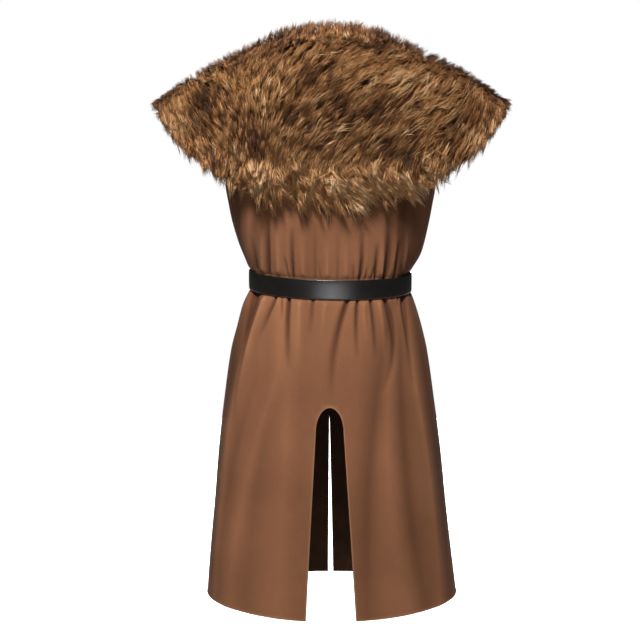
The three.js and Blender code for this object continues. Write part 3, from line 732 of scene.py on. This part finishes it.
def make_waist():
    """The line round the cloth under the belt, from the middle of the front: its lengths and points."""
    count = 721
    angle = np.linspace(0, 2 * math.pi, count)
    facing = np.where(np.cos(angle) < 0, BACK, FRONT)
    sizes = [np.full(count, float(size)) for size in half_sizes(np.array(float(BELT)))]
    x, y, out_x, out_y = place_on(sizes, np.arcsin(np.sin(angle)), facing)
    length = np.concatenate([[0], np.cumsum(np.hypot(np.diff(x), np.diff(y)))])
    return length, (x, y, out_x, out_y)


WAIST_AT, WAIST_LINE = make_waist()
WAIST_LENGTH = WAIST_AT[-1]


def on_waist(distance, off, height):
    """A point at a distance round the waist, off the cloth by so much, and at a height on the strap."""
    at = np.mod(distance, WAIST_LENGTH)
    x, y, out_x, out_y = (np.interp(at, WAIST_AT, line) for line in WAIST_LINE)
    length = np.hypot(out_x, out_y)
    z = BELT + belt_sag(x, y) + height
    x, y = x + off * out_x / length, y + off * out_y / length + np.sign(y) * SEAM / 2
    return np.stack([x, y, z], axis=-1)


def strap_lift(distance):
    """How far off the cloth the strap's inner face is, over the keeper, the hinge bar and itself."""
    keeper_wall, hinge = 1.4, 2.2
    low = SEAM + keeper_wall + SEAM
    lap = distance - WAIST_LENGTH
    first = blend(low, SEAM, smooth((distance - 72) / 45))
    over_start = low + STRAP_THICK + SEAM
    over_bar = blend(SEAM, max(hinge * 2 + 1.1 + SEAM, over_start), smooth((lap + 30) / 40))
    second = blend(over_bar, SEAM + STRAP_THICK + SEAM, smooth((lap - 72) / 45))
    return np.where(lap < -40, first, second)


def make_strap():
    """Rings of the strap's section along the waist, skinned, with a slot for the buckle's hinge."""
    start, tail = 21.5, 130
    end = WAIST_LENGTH + tail
    slot_low, slot_high, slot_half = WAIST_LENGTH - 8, WAIST_LENGTH + 24, 3.3
    stations = [start] + steps_between(start, slot_low, 4.2) + steps_between(slot_low, slot_high, 4.0)
    stations += steps_between(slot_high, end - 26, 4.0) + steps_between(end - 26, end, 1.6)
    stations = np.array(stations)
    # The section of half the width: distances in from the edge, and how far out the two faces are there.
    inset = np.array([0, 0.2, 0.6, 1.3, 2.4, 5.0, 9.0])
    top = np.array([1.4, 2.0, 2.35, 2.5, 2.6, 2.8, 2.93])
    bottom = np.array([1.4, 0.7, 0.2, 0, 0, 0, 0])
    half = STRAP_HALF * np.sqrt(np.clip(0.35 + (end - stations) / 26, 0, 1))
    points = []
    for at, wide, lift in zip(stations, half, strap_lift(stations)):
        edge, slot = wide - inset, slot_half * wide / STRAP_HALF
        heights = np.concatenate([-edge, [-slot, 0, slot], edge[::-1]])
        outer = np.concatenate([top, [STRAP_THICK] * 3, top[::-1]])
        inner = np.concatenate([bottom, [0] * 3, bottom[::-1]])
        ring_height = np.concatenate([heights, heights[::-1][1:-1]])
        ring_off = np.concatenate([outer, inner[::-1][1:-1]])
        points.append(on_waist(np.full(len(ring_off), at), ring_off + lift, ring_height))
    points = np.array(points)
    rows, around = points.shape[:2]
    bm = bmesh.new()
    verts = [[bm.verts.new(point / 1000) for point in ring] for ring in points]
    face_count = len(inset) * 2 + 3
    left, right = len(inset), len(inset) + 2

    def opposite(j):
        return (2 * face_count - 2 - j) % around

    def in_slot(i):
        return slot_low - 0.01 <= stations[i] and stations[i + 1] <= slot_high + 0.01

    for i in range(rows - 1):
        for j in range(around):
            k = (j + 1) % around
            front_gap = in_slot(i) and left <= j < right
            back_gap = in_slot(i) and left <= opposite(k) < right and j >= face_count - 1
            if not front_gap and not back_gap:
                bm.faces.new((verts[i][j], verts[i + 1][j], verts[i + 1][k], verts[i][k]))
    slot_rows = [i for i in range(rows - 1) if in_slot(i)]
    for i in slot_rows:
        for j in (left, right):
            bm.faces.new((verts[i][j], verts[i + 1][j], verts[i + 1][opposite(j)], verts[i][opposite(j)]))
    for i in (slot_rows[0], slot_rows[-1] + 1):
        for j in range(left, right):
            bm.faces.new((verts[i][j], verts[i][j + 1], verts[i][opposite(j + 1)], verts[i][opposite(j)]))
    for i in (0, rows - 1):
        for j in range(face_count - 1):
            a, b = opposite(j), opposite(j + 1)
            corners = [verts[i][j], verts[i][j + 1], verts[i][b], verts[i][a]]
            unique = list(dict.fromkeys(corners))
            if len(unique) > 2:
                bm.faces.new(unique)
    bmesh.ops.recalc_face_normals(bm, faces=bm.faces)
    strap = object_from(bm, "belt_leather_strap")
    strap.data.shade_smooth()
    return strap


def leather(name, color, roughness):
    """Waxed leather: a fine grain, slight unevenness and smoother places rubbed by wear."""
    material, n = new_material(name, Specular_IOR_Level=0.5)
    place = n.add("ShaderNodeTexCoord").outputs["Object"]
    grain = n.add("ShaderNodeTexVoronoi", {"feature": "F1"}, Vector=place, Scale=900.0).outputs["Distance"]
    wear = n.patches(14, 4, 0.3, 0.7)
    n.link(n.mix(wear, *shades(color, 0.8, 1.3)), "Base Color")
    n.link(n.spread(wear, 0, 1, roughness - 0.02, roughness + 0.03), "Roughness")
    n.link(n.bump(n.patches(40, 3), 0.0004, 0.08, n.bump(grain, 0.0001, 0.2)), "Normal")
    return material


black_leather = leather("belt_leather", (0.0042, 0.0036, 0.003), 0.3)
strap = make_strap()
strap.data.materials.append(black_leather)
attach(strap, "root")
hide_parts("belt_strap")


# ---------------------------------------------------------------- keeper and buckle
# A leather loop that holds the tail, and a plain dark iron frame with a straight prong that turns on the
# frame's hinge pin. They are the solids themselves, with their edges rounded.
def dark_iron(name):
    """Forged, blackened iron with lighter rubbed places."""
    material, n = new_material(name, Metallic=1.0)
    n.link(n.mix(n.patches(60, 5, 0.35, 0.7), (0.11, 0.105, 0.10, 1), (0.24, 0.23, 0.215, 1)), "Base Color")
    n.link(n.spread(n.patches(180, 4, 0.3, 0.7), 0, 1, 0.34, 0.5), "Roughness")
    n.link(n.bump(n.patches(220, 4), 0.0005, 0.35), "Normal")
    return material


def dress_node(node, material, edge):
    """Give one of the solids its finish, and round its edges by a bevel of the given width."""
    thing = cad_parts[node]
    for slot in thing.material_slots:
        slot.link = "OBJECT"
        slot.material = material
    bevel = thing.modifiers.new("edges", "BEVEL")
    bevel.width, bevel.segments = edge, 2
    bevel.limit_method, bevel.angle_limit = "ANGLE", math.radians(40)


iron = dark_iron("buckle_iron")
dress_node("belt_keeper", black_leather, 0.0004)
dress_node("belt_buckle_frame", iron, 0.0009)
dress_node("belt_prong", iron, 0.0006)


# ---------------------------------------------------------------- mantle backing
# The skin side of the fur: soft dark hide that lies on the shoulders, in a back and a front piece sewn
# together along the shoulder line. It ends inside the fringe, which hangs past it.

# At each half width: the heights of its top and its fringe, half its depth, and the depth of its pile.
MANTLE = columns(
    "x top fringe depth pile",
    [
        (0, 56, -318, 130, 30),
        (50, 53, -314, 128, 30),
        (100, 44, -305, 121, 30),
        (150, 23, -293, 107, 30),
        (200, -1, -262, 86, 28),
        (250, -27, -227, 61, 25),
        (300, -58, -184, 35, 19),
        (330, -81, -138, 19, 14),
        (348, -97, -113, 9, 9),
    ],
)
COLLAR_HALF, FRONT_DIP, FRINGE_SHARE, FRINGE_START = 97, 75, 0.36, 0.55
TUFT, TUFT_LENGTH, TIP = 4, 27, 348


def mantle_surface(facing, x, down, lift):
    """A point of the mantle: down runs from its top edge, 0, to its fringe, 1, and lift from the hide's
    inner face, 0, to the ends of the fur, 1."""
    out = np.abs(x)
    names = ("top", "fringe", "depth", "pile")
    top, fringe, depth, pile = (along(MANTLE, "x", name, out) for name in names)
    in_neck = np.maximum(1 - (out / COLLAR_HALF) ** 2, 0)
    top = top - (FRONT_DIP * in_neck**2 if facing == FRONT else 0)
    tuft = TUFT * np.sin(2 * math.pi * x / TUFT_LENGTH + 0.4 * facing) * (1 - out / 400) * down**6
    thin = blend(1, FRINGE_SHARE, smooth((down - FRINGE_START) / (1 - FRINGE_START)))
    reach = neck_reach(out, facing, COLLAR_HALF) + 2 * np.sqrt(in_neck)
    faces = []
    for outside in (0, 1):
        high = top - (1 - outside) * pile
        low = fringe + 4 * (1 - outside) + tuft
        drop = (high - low) * down * np.abs(down)
        y = depth_at(drop, reach, depth + outside * pile * thin)
        faces.append(np.stack([x, facing * (y + SEAM / 2), high - drop], axis=-1))
    return faces[0] + (faces[1] - faces[0]) * np.asarray(lift)[..., None]


def surface_steps(facing, x, down, lift):
    """How far the surface runs, in millimetres, for a unit of x and of down."""
    step_x, step_down = 0.5, 0.004
    at = mantle_surface(facing, x, down, lift)
    by_x = mantle_surface(facing, x + step_x, down, lift) - at
    by_down = mantle_surface(facing, x, down + step_down, lift) - at
    return np.linalg.norm(by_x, axis=-1) / step_x, np.linalg.norm(by_down, axis=-1) / step_down


def mantle_backing(name, facing):
    """One hide, from tip to tip and from its top edge to just short of the fringe's end."""
    cols, rows, thick, off_body = 96, 26, 2.4, 1.2
    start, length, half_width, collar_share = 0.004, 0.90, 338, 0.4
    bm = bmesh.new()
    bmesh.ops.create_grid(bm, x_segments=cols, y_segments=rows, size=0.5)
    share = np.array([2 * vert.co.x for vert in bm.verts])
    down = np.array([vert.co.y + 0.5 for vert in bm.verts]) * length + start
    out = np.abs(share)
    x = np.sign(share) * np.where(
        out < collar_share,
        COLLAR_HALF * np.sin(out / collar_share * QUARTER),
        COLLAR_HALF + (out - collar_share) / (1 - collar_share) * (half_width - COLLAR_HALF),
    )
    low = mantle_surface(facing, x, down, np.zeros(len(x)))
    way = mantle_surface(facing, x, down, np.ones(len(x))) - low
    points = low + way / np.linalg.norm(way, axis=1, keepdims=True) * (off_body + thick)
    for vert, point in zip(bm.verts, points):
        vert.co = point / 1000
    face_outwards(bm, (0, 0.13 * facing, -0.2))
    backing = object_from(bm, name)
    give_wall(backing, thick / 1000)
    return backing


def hide():
    """Dark, uneven, slightly rough skin."""
    material, n = new_material("mantle_hide", Roughness=0.88, Specular_IOR_Level=0.2)
    n.link(n.mix(n.patches(35, 5, 0.3, 0.7), *shades((0.10, 0.054, 0.028), 0.5, 1)), "Base Color")
    n.link(n.bump(n.patches(300, 4), 0.0008, 0.5), "Normal")
    return material


hide_material = hide()
for backing_name, facing in (("mantle_hide_back", BACK), ("mantle_hide_front", FRONT)):
    backing = mantle_backing(backing_name, facing)
    backing.data.materials.append(hide_material)
    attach(backing, "root")
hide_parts("mantle_back")
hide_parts("mantle_front")


# ---------------------------------------------------------------- fur
# Long guard hairs that lie in locks over a dark undercoat, with paler, golden ends. They flow from the
# shoulders to the middle, sweep sideways low on the back, and end in a ragged fringe.
FLOW_BACK = columns(
    "x z angle",  # degrees from straight down, towards +X
    [
        (-300, -112, 30), (-253, -136, 36), (-193, -98, 25), (-154, -136, 5), (-117, -23, -10),
        (-116, -191, -5), (-59, -24, -28), (-59, -135, -35), (-3, -24, -35), (-3, -135, -40),
        (-3, -210, -50), (92, -23, -45), (91, -135, -42), (129, -191, -50), (188, -60, -50),
        (187, -154, -55), (267, -117, -60), (247, -193, -50), (-126, -248, 20), (-59, -253, 62),
        (16, -252, 76), (130, -253, 66), (-155, -286, -30), (-78, -304, -10), (-3, -309, 10),
        (73, -300, 30), (149, -282, 42), (188, -258, 40), (-238, -228, 4), (-292, -192, 26),
        (-328, -152, 30), (-348, -104, 24), (310, -150, -20), (345, -105, 20),
        (238, -222, -6), (-200, -262, -34),
    ],
)
FLOW_FRONT = columns(
    "x z angle",
    [
        (-320, -110, 30), (-262, -120, 40), (-200, -90, 34), (-150, -130, 24), (-112, -60, 30),
        (-120, -200, 12), (-60, -120, 26), (-50, -210, 18), (0, -130, -4), (0, -220, -12),
        (60, -120, -30), (96, -60, -38), (110, -170, -26), (150, -100, -34), (190, -160, -40),
        (250, -120, -44), (320, -110, -34), (-160, -260, -14), (-80, -290, -6), (0, -300, 8),
        (80, -290, 22), (160, -262, 30), (240, -205, -12), (-240, -205, 8),
    ],
)
# Places where the fur is darker, less than nothing, or paler: x, z, radius and amount. The widest darker
# place, over the left of the back, is painted shade: it darkens the side that the key lamp lights most.
PATCHES_BACK = columns(
    "x z radius amount",
    [
        (-140, -147, 20, -0.34), (-177, -132, 16, -0.2), (-68, -110, 18, -0.2), (-33, -159, 18, -0.26),
        (-25, -37, 20, -0.24), (23, -89, 18, -0.28), (38, -111, 16, -0.2), (98, -104, 22, -0.3),
        (142, -94, 18, -0.2), (154, -199, 20, -0.34), (125, -173, 16, -0.26), (251, -166, 18, -0.2),
        (302, -111, 18, -0.22), (-336, -93, 20, -0.25), (-263, -88, 26, -0.3), (-195, -22, 22, -0.25),
        (-90, 41, 26, -0.22), (105, 39, 26, -0.25), (209, -21, 26, -0.2), (329, -78, 20, -0.22),
        (149, -49, 22, 0.2), (204, -50, 24, 0.16), (177, -89, 24, 0.2), (87, -65, 18, 0.14),
        (-135, -66, 22, 0.14), (-204, -50, 22, 0.14), (-222, -154, 26, 0.16), (-135, -210, 26, 0.04),
        (16, -243, 34, 0.08), (110, -244, 34, 0.08), (60, -262, 30, 0.04), (188, -239, 22, 0.08),
        (-60, -290, 40, 0.03), (60, -296, 40, 0.03), (-312, -112, 36, 0.12), (300, -140, 30, 0.1),
        (-225, -120, 75, -0.12), (150, -255, 44, 0.15), (20, -285, 40, 0.06),
    ],
)
PATCHES_FRONT = columns(
    "x z radius amount",
    [
        (-150, -140, 24, -0.3), (-60, -180, 22, -0.26), (40, -150, 20, -0.28), (130, -90, 22, -0.24),
        (170, -190, 22, -0.28), (250, -110, 24, -0.22), (-240, -90, 24, -0.26), (0, -250, 26, -0.2),
        (-200, -40, 24, 0.14), (-100, -110, 24, 0.14), (90, -220, 30, 0.18), (-120, -250, 30, 0.16),
        (200, -130, 26, 0.14), (60, -80, 22, 0.12), (-290, -130, 22, 0.12),
    ],
)


ROOT_LIFT = 0.2  # the share of the pile at which a lock's roots are measured


def near_rows(table, x, z, column, spread):
    """A column of a table of places, blended at points x, z from the rows near them."""
    gap = (x[:, None] - table["x"]) ** 2 + (z[:, None] - table["z"]) ** 2
    weight = np.exp(-gap / (2 * spread**2)) + 1e-5 / (1 + gap / 100)
    return (weight * column).sum(axis=1) / weight.sum(axis=1)


def mantle_top(x):
    return along(MANTLE, "x", "top", np.abs(x))


def mantle_fall(x):
    """How far the mantle falls at x from its top to its fringe."""
    return np.maximum(mantle_top(x) - along(MANTLE, "x", "fringe", np.abs(x)), 12)


def scatter(rng, facing, count, low_down, high_down):
    """Roots spread evenly over the hide."""
    kept_x, kept_down = np.zeros(0), np.zeros(0)
    tries, most_area, edge = 60000, 640, TIP - 3
    while len(kept_x) < count:
        x, down = rng.uniform(-edge, edge, tries), rng.uniform(low_down, high_down, tries)
        by_x, by_down = surface_steps(facing, x, down, np.full(tries, ROOT_LIFT))
        # They are closer together towards the tips.
        crowd = 1 + 1.6 * smooth((np.abs(x) - 270) / 50)
        keep = rng.uniform(0, most_area, tries) < by_x * by_down * crowd
        kept_x, kept_down = np.append(kept_x, x[keep]), np.append(kept_down, down[keep])
    return kept_x[:count], kept_down[:count]


# The kinds of hair on each side: undercoat, guard hairs, fringe and loose locks. Each row says what share
# they are, in locks of how many, where their roots lie between the top edge and the fringe, how long they
# are, how high their ends stand, how far a lock's ends keep apart, how much locks turn, their tone and their
# thickness.
HAIR = "count lock low high shortest longest low_lift high_lift apart turn tone thick"
FRINGE_LOW = 0.8  # a kind with all its roots past this share of the way down is the fringe
HAIR_KINDS = [
    dict(zip(HAIR.split(), row))
    for row in (
        (0.19, 8, 0.00, 0.965, 20, 34, 0.20, 0.45, 0.80, 0.25, -0.24, 1.0),
        (0.48, 9, 0.02, 0.93, 44, 74, 0.45, 1.00, 0.12, 0.10, 0.0, 1.0),
        (0.15, 11, 0.84, 0.96, 42, 70, 0.70, 2.20, 0.05, 0.28, 0.0, 1.5),
        (0.05, 7, 0.30, 0.96, 40, 60, 0.80, 1.10, 0.12, 0.20, 0.06, 1.2),
    )
]


def fur_strands(facing, seed, total, flow, patches):
    """Root, middle and end of each strand, its width, tone and greyness."""
    rng = np.random.default_rng(seed)
    made = []
    for kind in HAIR_KINDS:
        count = int(total * kind["count"])
        locks = count // kind["lock"]
        lock_x, lock_down = scatter(rng, facing, locks, kind["low"], kind["high"])
        place = mantle_surface(facing, lock_x, lock_down, np.full(locks, ROOT_LIFT))
        angle = np.radians(near_rows(flow, place[:, 0], place[:, 2], flow["angle"], 30))
        angle += rng.normal(0, kind["turn"], locks)
        lock_length = rng.uniform(kind["shortest"], kind["longest"], locks)
        lock_lift = rng.uniform(kind["low_lift"], kind["high_lift"], locks)
        gap = (place[:, 0, None] - patches["x"]) ** 2 + (place[:, 2, None] - patches["z"]) ** 2
        lock_tone = rng.normal(0, 0.125 if kind["low"] < FRINGE_LOW else 0.17, locks)
        lock_tone += 1.5 * (patches["amount"] * np.exp(-gap / patches["radius"] ** 2)).sum(axis=1)
        lock_fall = mantle_fall(lock_x)
        lock_drop = lock_fall * lock_down**2
        lock_middle = np.sqrt((lock_drop + 0.4 * lock_length) / lock_fall)
        by_x, by_drop = surface_steps(facing, lock_x, lock_middle, np.full(locks, 0.3))
        by_drop /= 2 * lock_fall * lock_middle

        lock = rng.integers(0, locks, count)
        by_x, by_drop = by_x[lock], by_drop[lock]
        off_x, off_down = rng.normal(0, 4.2, count), rng.normal(0, 6.0, count)
        length = lock_length[lock] * rng.uniform(0.86, 1.04, count)
        length = np.maximum(length * (1 - 0.024 * np.hypot(off_x, off_down)), 0.5 * kind["shortest"])
        heading = angle[lock] + rng.normal(0, 0.06, count)
        drawn = 1 - kind["apart"]
        root_x = np.clip(lock_x[lock] + off_x / by_x, 4 - TIP, TIP - 4)
        root_drop = np.maximum(lock_drop[lock] + off_down / by_drop, 0)
        end_x = root_x + (length * np.sin(heading) - off_x * drawn) / by_x
        fallen = (length * np.cos(heading) - off_down * drawn) / by_drop
        end_drop = root_drop + fallen + mantle_top(end_x) - mantle_top(root_x)
        root_down = np.sqrt(root_drop / mantle_fall(root_x))
        end_down = np.sqrt(np.maximum(end_drop, 0) / mantle_fall(end_x))
        # Ends hang just past the fringe line and the tips, each by its own amount.
        calm = 1 - 0.6 * smooth((np.abs(lock_x) - 150) / 80)
        limit = 1.0 + (rng.normal(0.0, 0.038, locks) * calm)[lock] + rng.normal(0, 0.005, count)
        limit -= 0.0022 * np.abs(off_x)
        end_down = np.where(end_down > limit, limit + (end_down - limit) * 0.25, end_down)
        past = np.maximum(np.abs(end_x) - TIP + rng.uniform(0, 8, count), 0)
        end_x = np.sign(end_x) * (np.abs(end_x) - past * 0.8)
        end_lift = lock_lift[lock] * rng.uniform(0.8, 1.05, count)
        middle_lift = end_lift * rng.uniform(0.5, 0.7, count) + 0.1
        root_down = np.minimum(root_down, 0.972)
        bow = rng.normal(0, 1.8, count) / by_x
        root = mantle_surface(facing, root_x, root_down, np.full(count, 0.1))
        halfway = 0.46
        middle_x, middle_down = blend(root_x, end_x, halfway) + bow, blend(root_down, end_down, halfway)
        middle = mantle_surface(facing, middle_x, middle_down, middle_lift)
        end = mantle_surface(facing, end_x, end_down, end_lift)
        tone = 0.565 + kind["tone"] + lock_tone[lock] + rng.normal(0, 0.12, count)
        tone += 0.2 * (np.minimum(end_lift, 1) - 0.7)
        width = kind["thick"] * rng.uniform(0.7, 1.2, count)
        # The fur is darker and greyer along the shoulder line and at the collar.
        out = np.abs(root[:, 0])
        dusk = np.clip((root[:, 2] + 0.26 * out - 8) / 26, 0, 1) * (out > 60)
        high = np.clip((root[:, 2] - 4) / 40, 0, 1)
        tone -= 0.22 * dusk + 0.16 * high
        grey = rng.uniform(size=count) < 0.08 + 0.6 * np.maximum(dusk, high)
        made.append((root, middle, end, width, np.clip(tone, 0.02, 0.98), grey))
    made.append(edge_hairs(rng, facing, int(total * 0.19)))
    made.append(rim_hairs(rng, facing, int(total * 0.03)))
    return [np.concatenate(parts) for parts in zip(*made)]


def edge_hairs(rng, facing, count):
    """Hairs that stand up along the collar and the shoulder line, in small pointed locks, and lie over
    lower down."""
    locks = count // 9
    edge = TIP - 2
    lock_x = edge * rng.uniform(-1, 1, locks)
    lock_x = np.where(rng.uniform(size=locks) < 0.22, rng.uniform(-110, 110, locks), lock_x)
    sunk = 26 * rng.uniform(0, 1, locks) ** 1.9
    reach = rng.uniform(1.1, 1.7, locks)
    lean = rng.normal(4, 6, locks) + 14 * np.sign(lock_x) * smooth((np.abs(lock_x) - 90) / 120)
    rise = rng.uniform(0.9, 1.16, locks)
    lock_tone = rng.normal(0, 0.17, locks) - 0.14 * np.exp(-(((np.abs(lock_x) - 98) / 26) ** 2))
    lock = rng.integers(0, locks, count)
    off = rng.normal(0, 4.2, count)
    off_sunk = rng.normal(0, 3, count)
    x = np.clip(lock_x[lock] + off, -edge, edge)
    fall = mantle_fall(x)
    root_down = np.sqrt(np.clip(sunk[lock] + off_sunk, 0, fall * 0.9) / fall)
    drop = np.clip(sunk[lock] * reach[lock] + rng.uniform(0, 4, count), 0, fall)
    end_down = np.sqrt(drop / fall)
    root = mantle_surface(facing, x, root_down, np.full(count, 0.12))
    end_x = np.clip(x + lean[lock] - 0.8 * off, -TIP - 2, TIP + 2)
    end_lift = rise[lock] * rng.uniform(0.86, 1.04, count)
    end = mantle_surface(facing, end_x, end_down, end_lift)
    middle = root + (end - root) * np.array([0.4, 0.58, 0.56]) + rng.normal(0, 0.8, (count, 3))
    dusk = smooth((np.abs(root[:, 0]) - 60) / 50) * smooth(1.3 - drop / 26)
    tone = 0.2 + 0.006 * drop + lock_tone[lock] + rng.normal(0, 0.1, count) - 0.16 * dusk
    grey = rng.uniform(size=count) < 0.5 + 0.3 * dusk
    return root, middle, end, rng.uniform(0.7, 1.1, count), np.clip(tone, 0.02, 0.98), grey


def rim_hairs(rng, facing, count):
    """Short dark locks that stick out past the tips and the sides of the fringe."""
    locks = count // 6
    side = np.where(rng.uniform(size=locks) < 0.5, -1, 1)
    out = TIP - 1 - 140 * rng.uniform(0, 1, locks) ** 1.3
    down = rng.uniform(0.9, 0.98, locks)
    down = np.where(out > TIP - 10, rng.uniform(0.05, 0.98, locks), down)
    angle = np.radians(rng.normal(62, 20, locks))
    length = rng.uniform(8, 17, locks)
    lock = rng.integers(0, locks, count)
    off = rng.normal(0, 2.4, (2, count))
    lift = rng.uniform(0.3, 0.8, count)
    root = mantle_surface(facing, side[lock] * out[lock] + off[0], down[lock], lift)
    root[:, 2] += off[1]
    length = length[lock] * rng.uniform(0.8, 1.05, count)
    sideways, outwards = side[lock] * np.sin(angle[lock]), np.full(count, facing * 0.15)
    end = root + np.stack([sideways, outwards, -np.cos(angle[lock])], axis=-1) * length[:, None]
    end[:, 0] -= 0.6 * off[0]
    end[:, 2] -= 0.8 * off[1]
    middle = root + (end - root) * 0.5 + rng.normal(0, 0.5, (count, 3))
    tone = np.clip(rng.normal(0.36, 0.14, count), 0.02, 0.98)
    width = rng.uniform(0.6, 1.0, count)
    return root, middle, end, width, tone, rng.uniform(size=count) < 0.3


def fur_piece(name, strands, keep):
    """One mesh of closed, three-sided, tapering strands: a ring low, a ring at the middle, and a point."""
    low_share, middle_share = 0.40, 0.46
    root, middle, end, width, tone, grey = (part[keep] for part in strands)
    count = len(root)
    way = end - root
    way /= np.linalg.norm(way, axis=1, keepdims=True)
    side = np.cross(way, np.array([0.35, 0.2, 0.9]))
    side /= np.linalg.norm(side, axis=1, keepdims=True)
    other = np.cross(way, side)
    turns = np.arange(3) * 2 * math.pi / 3
    ring = np.cos(turns)[None, :, None] * side[:, None] + np.sin(turns)[None, :, None] * other[:, None]
    low = root[:, None] + ring * (low_share * width)[:, None, None]
    high = middle[:, None] + ring * (middle_share * width)[:, None, None]
    points = np.concatenate([low, high, end[:, None]], axis=1).reshape(-1, 3) / 1000
    quads = [(j, (j + 1) % 3, 3 + (j + 1) % 3, 3 + j) for j in range(3)]
    tips = [(3 + j, 3 + (j + 1) % 3, 6) for j in range(3)]
    corners = np.array([2, 1, 0] + [c for quad in quads for c in quad] + [c for tip in tips for c in tip])
    sizes = np.array([3, 4, 4, 4, 3, 3, 3])
    loops = (corners[None] + 7 * np.arange(count)[:, None]).ravel()
    mesh = bpy.data.meshes.new(name)
    mesh.vertices.add(len(points))
    mesh.vertices.foreach_set("co", points.astype(np.float32).ravel())
    mesh.loops.add(len(loops))
    mesh.loops.foreach_set("vertex_index", loops.astype(np.int32))
    starts = np.concatenate([[0], np.cumsum(np.tile(sizes, count))[:-1]])
    mesh.polygons.add(len(starts))
    mesh.polygons.foreach_set("loop_start", starts.astype(np.int32))
    mesh.update(calc_edges=True)
    mesh.validate()
    # U is the strand's tone and V runs along it, in the upper half of the map for grey strands.
    cells = 48
    cell = np.floor(tone * cells) / cells
    along_strand = np.array([0.02, 0.02, 0.02, 0.5, 0.5, 0.5, 0.98])[corners]
    across_cell = np.array([0.15, 0.5, 0.85, 0.15, 0.5, 0.85, 0.5])[corners]
    u = cell[:, None] + across_cell[None] / cells
    v = 0.01 + along_strand[None] * 0.48 + np.where(grey, 0.5, 0.0)[:, None]
    uv = mesh.uv_layers.new(name="OFBake")
    uv.data.foreach_set("uv", np.stack([u, v], axis=-1).astype(np.float32).ravel())
    mesh.shade_smooth()
    fur = add_object(name, mesh)
    mesh.materials.append(fur_material)
    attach(fur, "root")
    return fur


def make_fur_material():
    """Hair that is dark at the root and paler at the end, by its tone."""
    material, n = new_material("mantle_fur", Roughness=0.55, Specular_IOR_Level=0.14)
    uv = n.add("ShaderNodeUVMap", {"uv_map": "OFBake"}).outputs[0]
    tone, along_both = n.add("ShaderNodeSeparateXYZ", _0=uv).outputs[:2]
    grey = n.math("GREATER_THAN", along_both, 0.5)
    along_strand = n.math("FRACT", n.math("MULTIPLY", along_both, 2.0))

    def ramp(value, stops):
        node = n.add("ShaderNodeValToRGB", _0=value)
        band = node.color_ramp
        while len(band.elements) < len(stops):
            band.elements.new(0.5)
        for element, (at, color) in zip(band.elements, stops):
            element.position, element.color = at, (*color, 1)
        return node.outputs[0]

    roots = ramp(tone, [(0, (0.010, 0.004, 0.002)), (0.5, (0.048, 0.016, 0.005)), (1, (0.17, 0.07, 0.024))])
    ends = ramp(
        tone,
        [
            (0, (0.046, 0.021, 0.010)),
            (0.3, (0.145, 0.059, 0.021)),
            (0.58, (0.385, 0.173, 0.060)),
            (0.82, (0.575, 0.335, 0.145)),
            (1, (0.74, 0.53, 0.31)),
        ],
    )
    color = n.mix(n.math("POWER", along_strand, 1.15), roots, ends)
    greyed = n.mix(1.0, color, (0.62, 0.66, 0.72, 1), "MULTIPLY")
    n.link(n.mix(n.math("MULTIPLY", grey, 0.7), color, greyed), "Base Color")
    return material


fur_material = make_fur_material()
for facing, word, seed, total, flow, patches in (
    (BACK, "back", 11, 36000, FLOW_BACK, PATCHES_BACK),
    (FRONT, "front", 23, 28000, FLOW_FRONT, PATCHES_FRONT),
):
    strands = fur_strands(facing, seed, total, flow, patches)
    root_x = strands[0][:, 0]
    middle_x = np.median(root_x)
    fur_piece(f"fur_{word}_left", strands, root_x < middle_x)
    fur_piece(f"fur_{word}_right", strands, root_x >= middle_x)
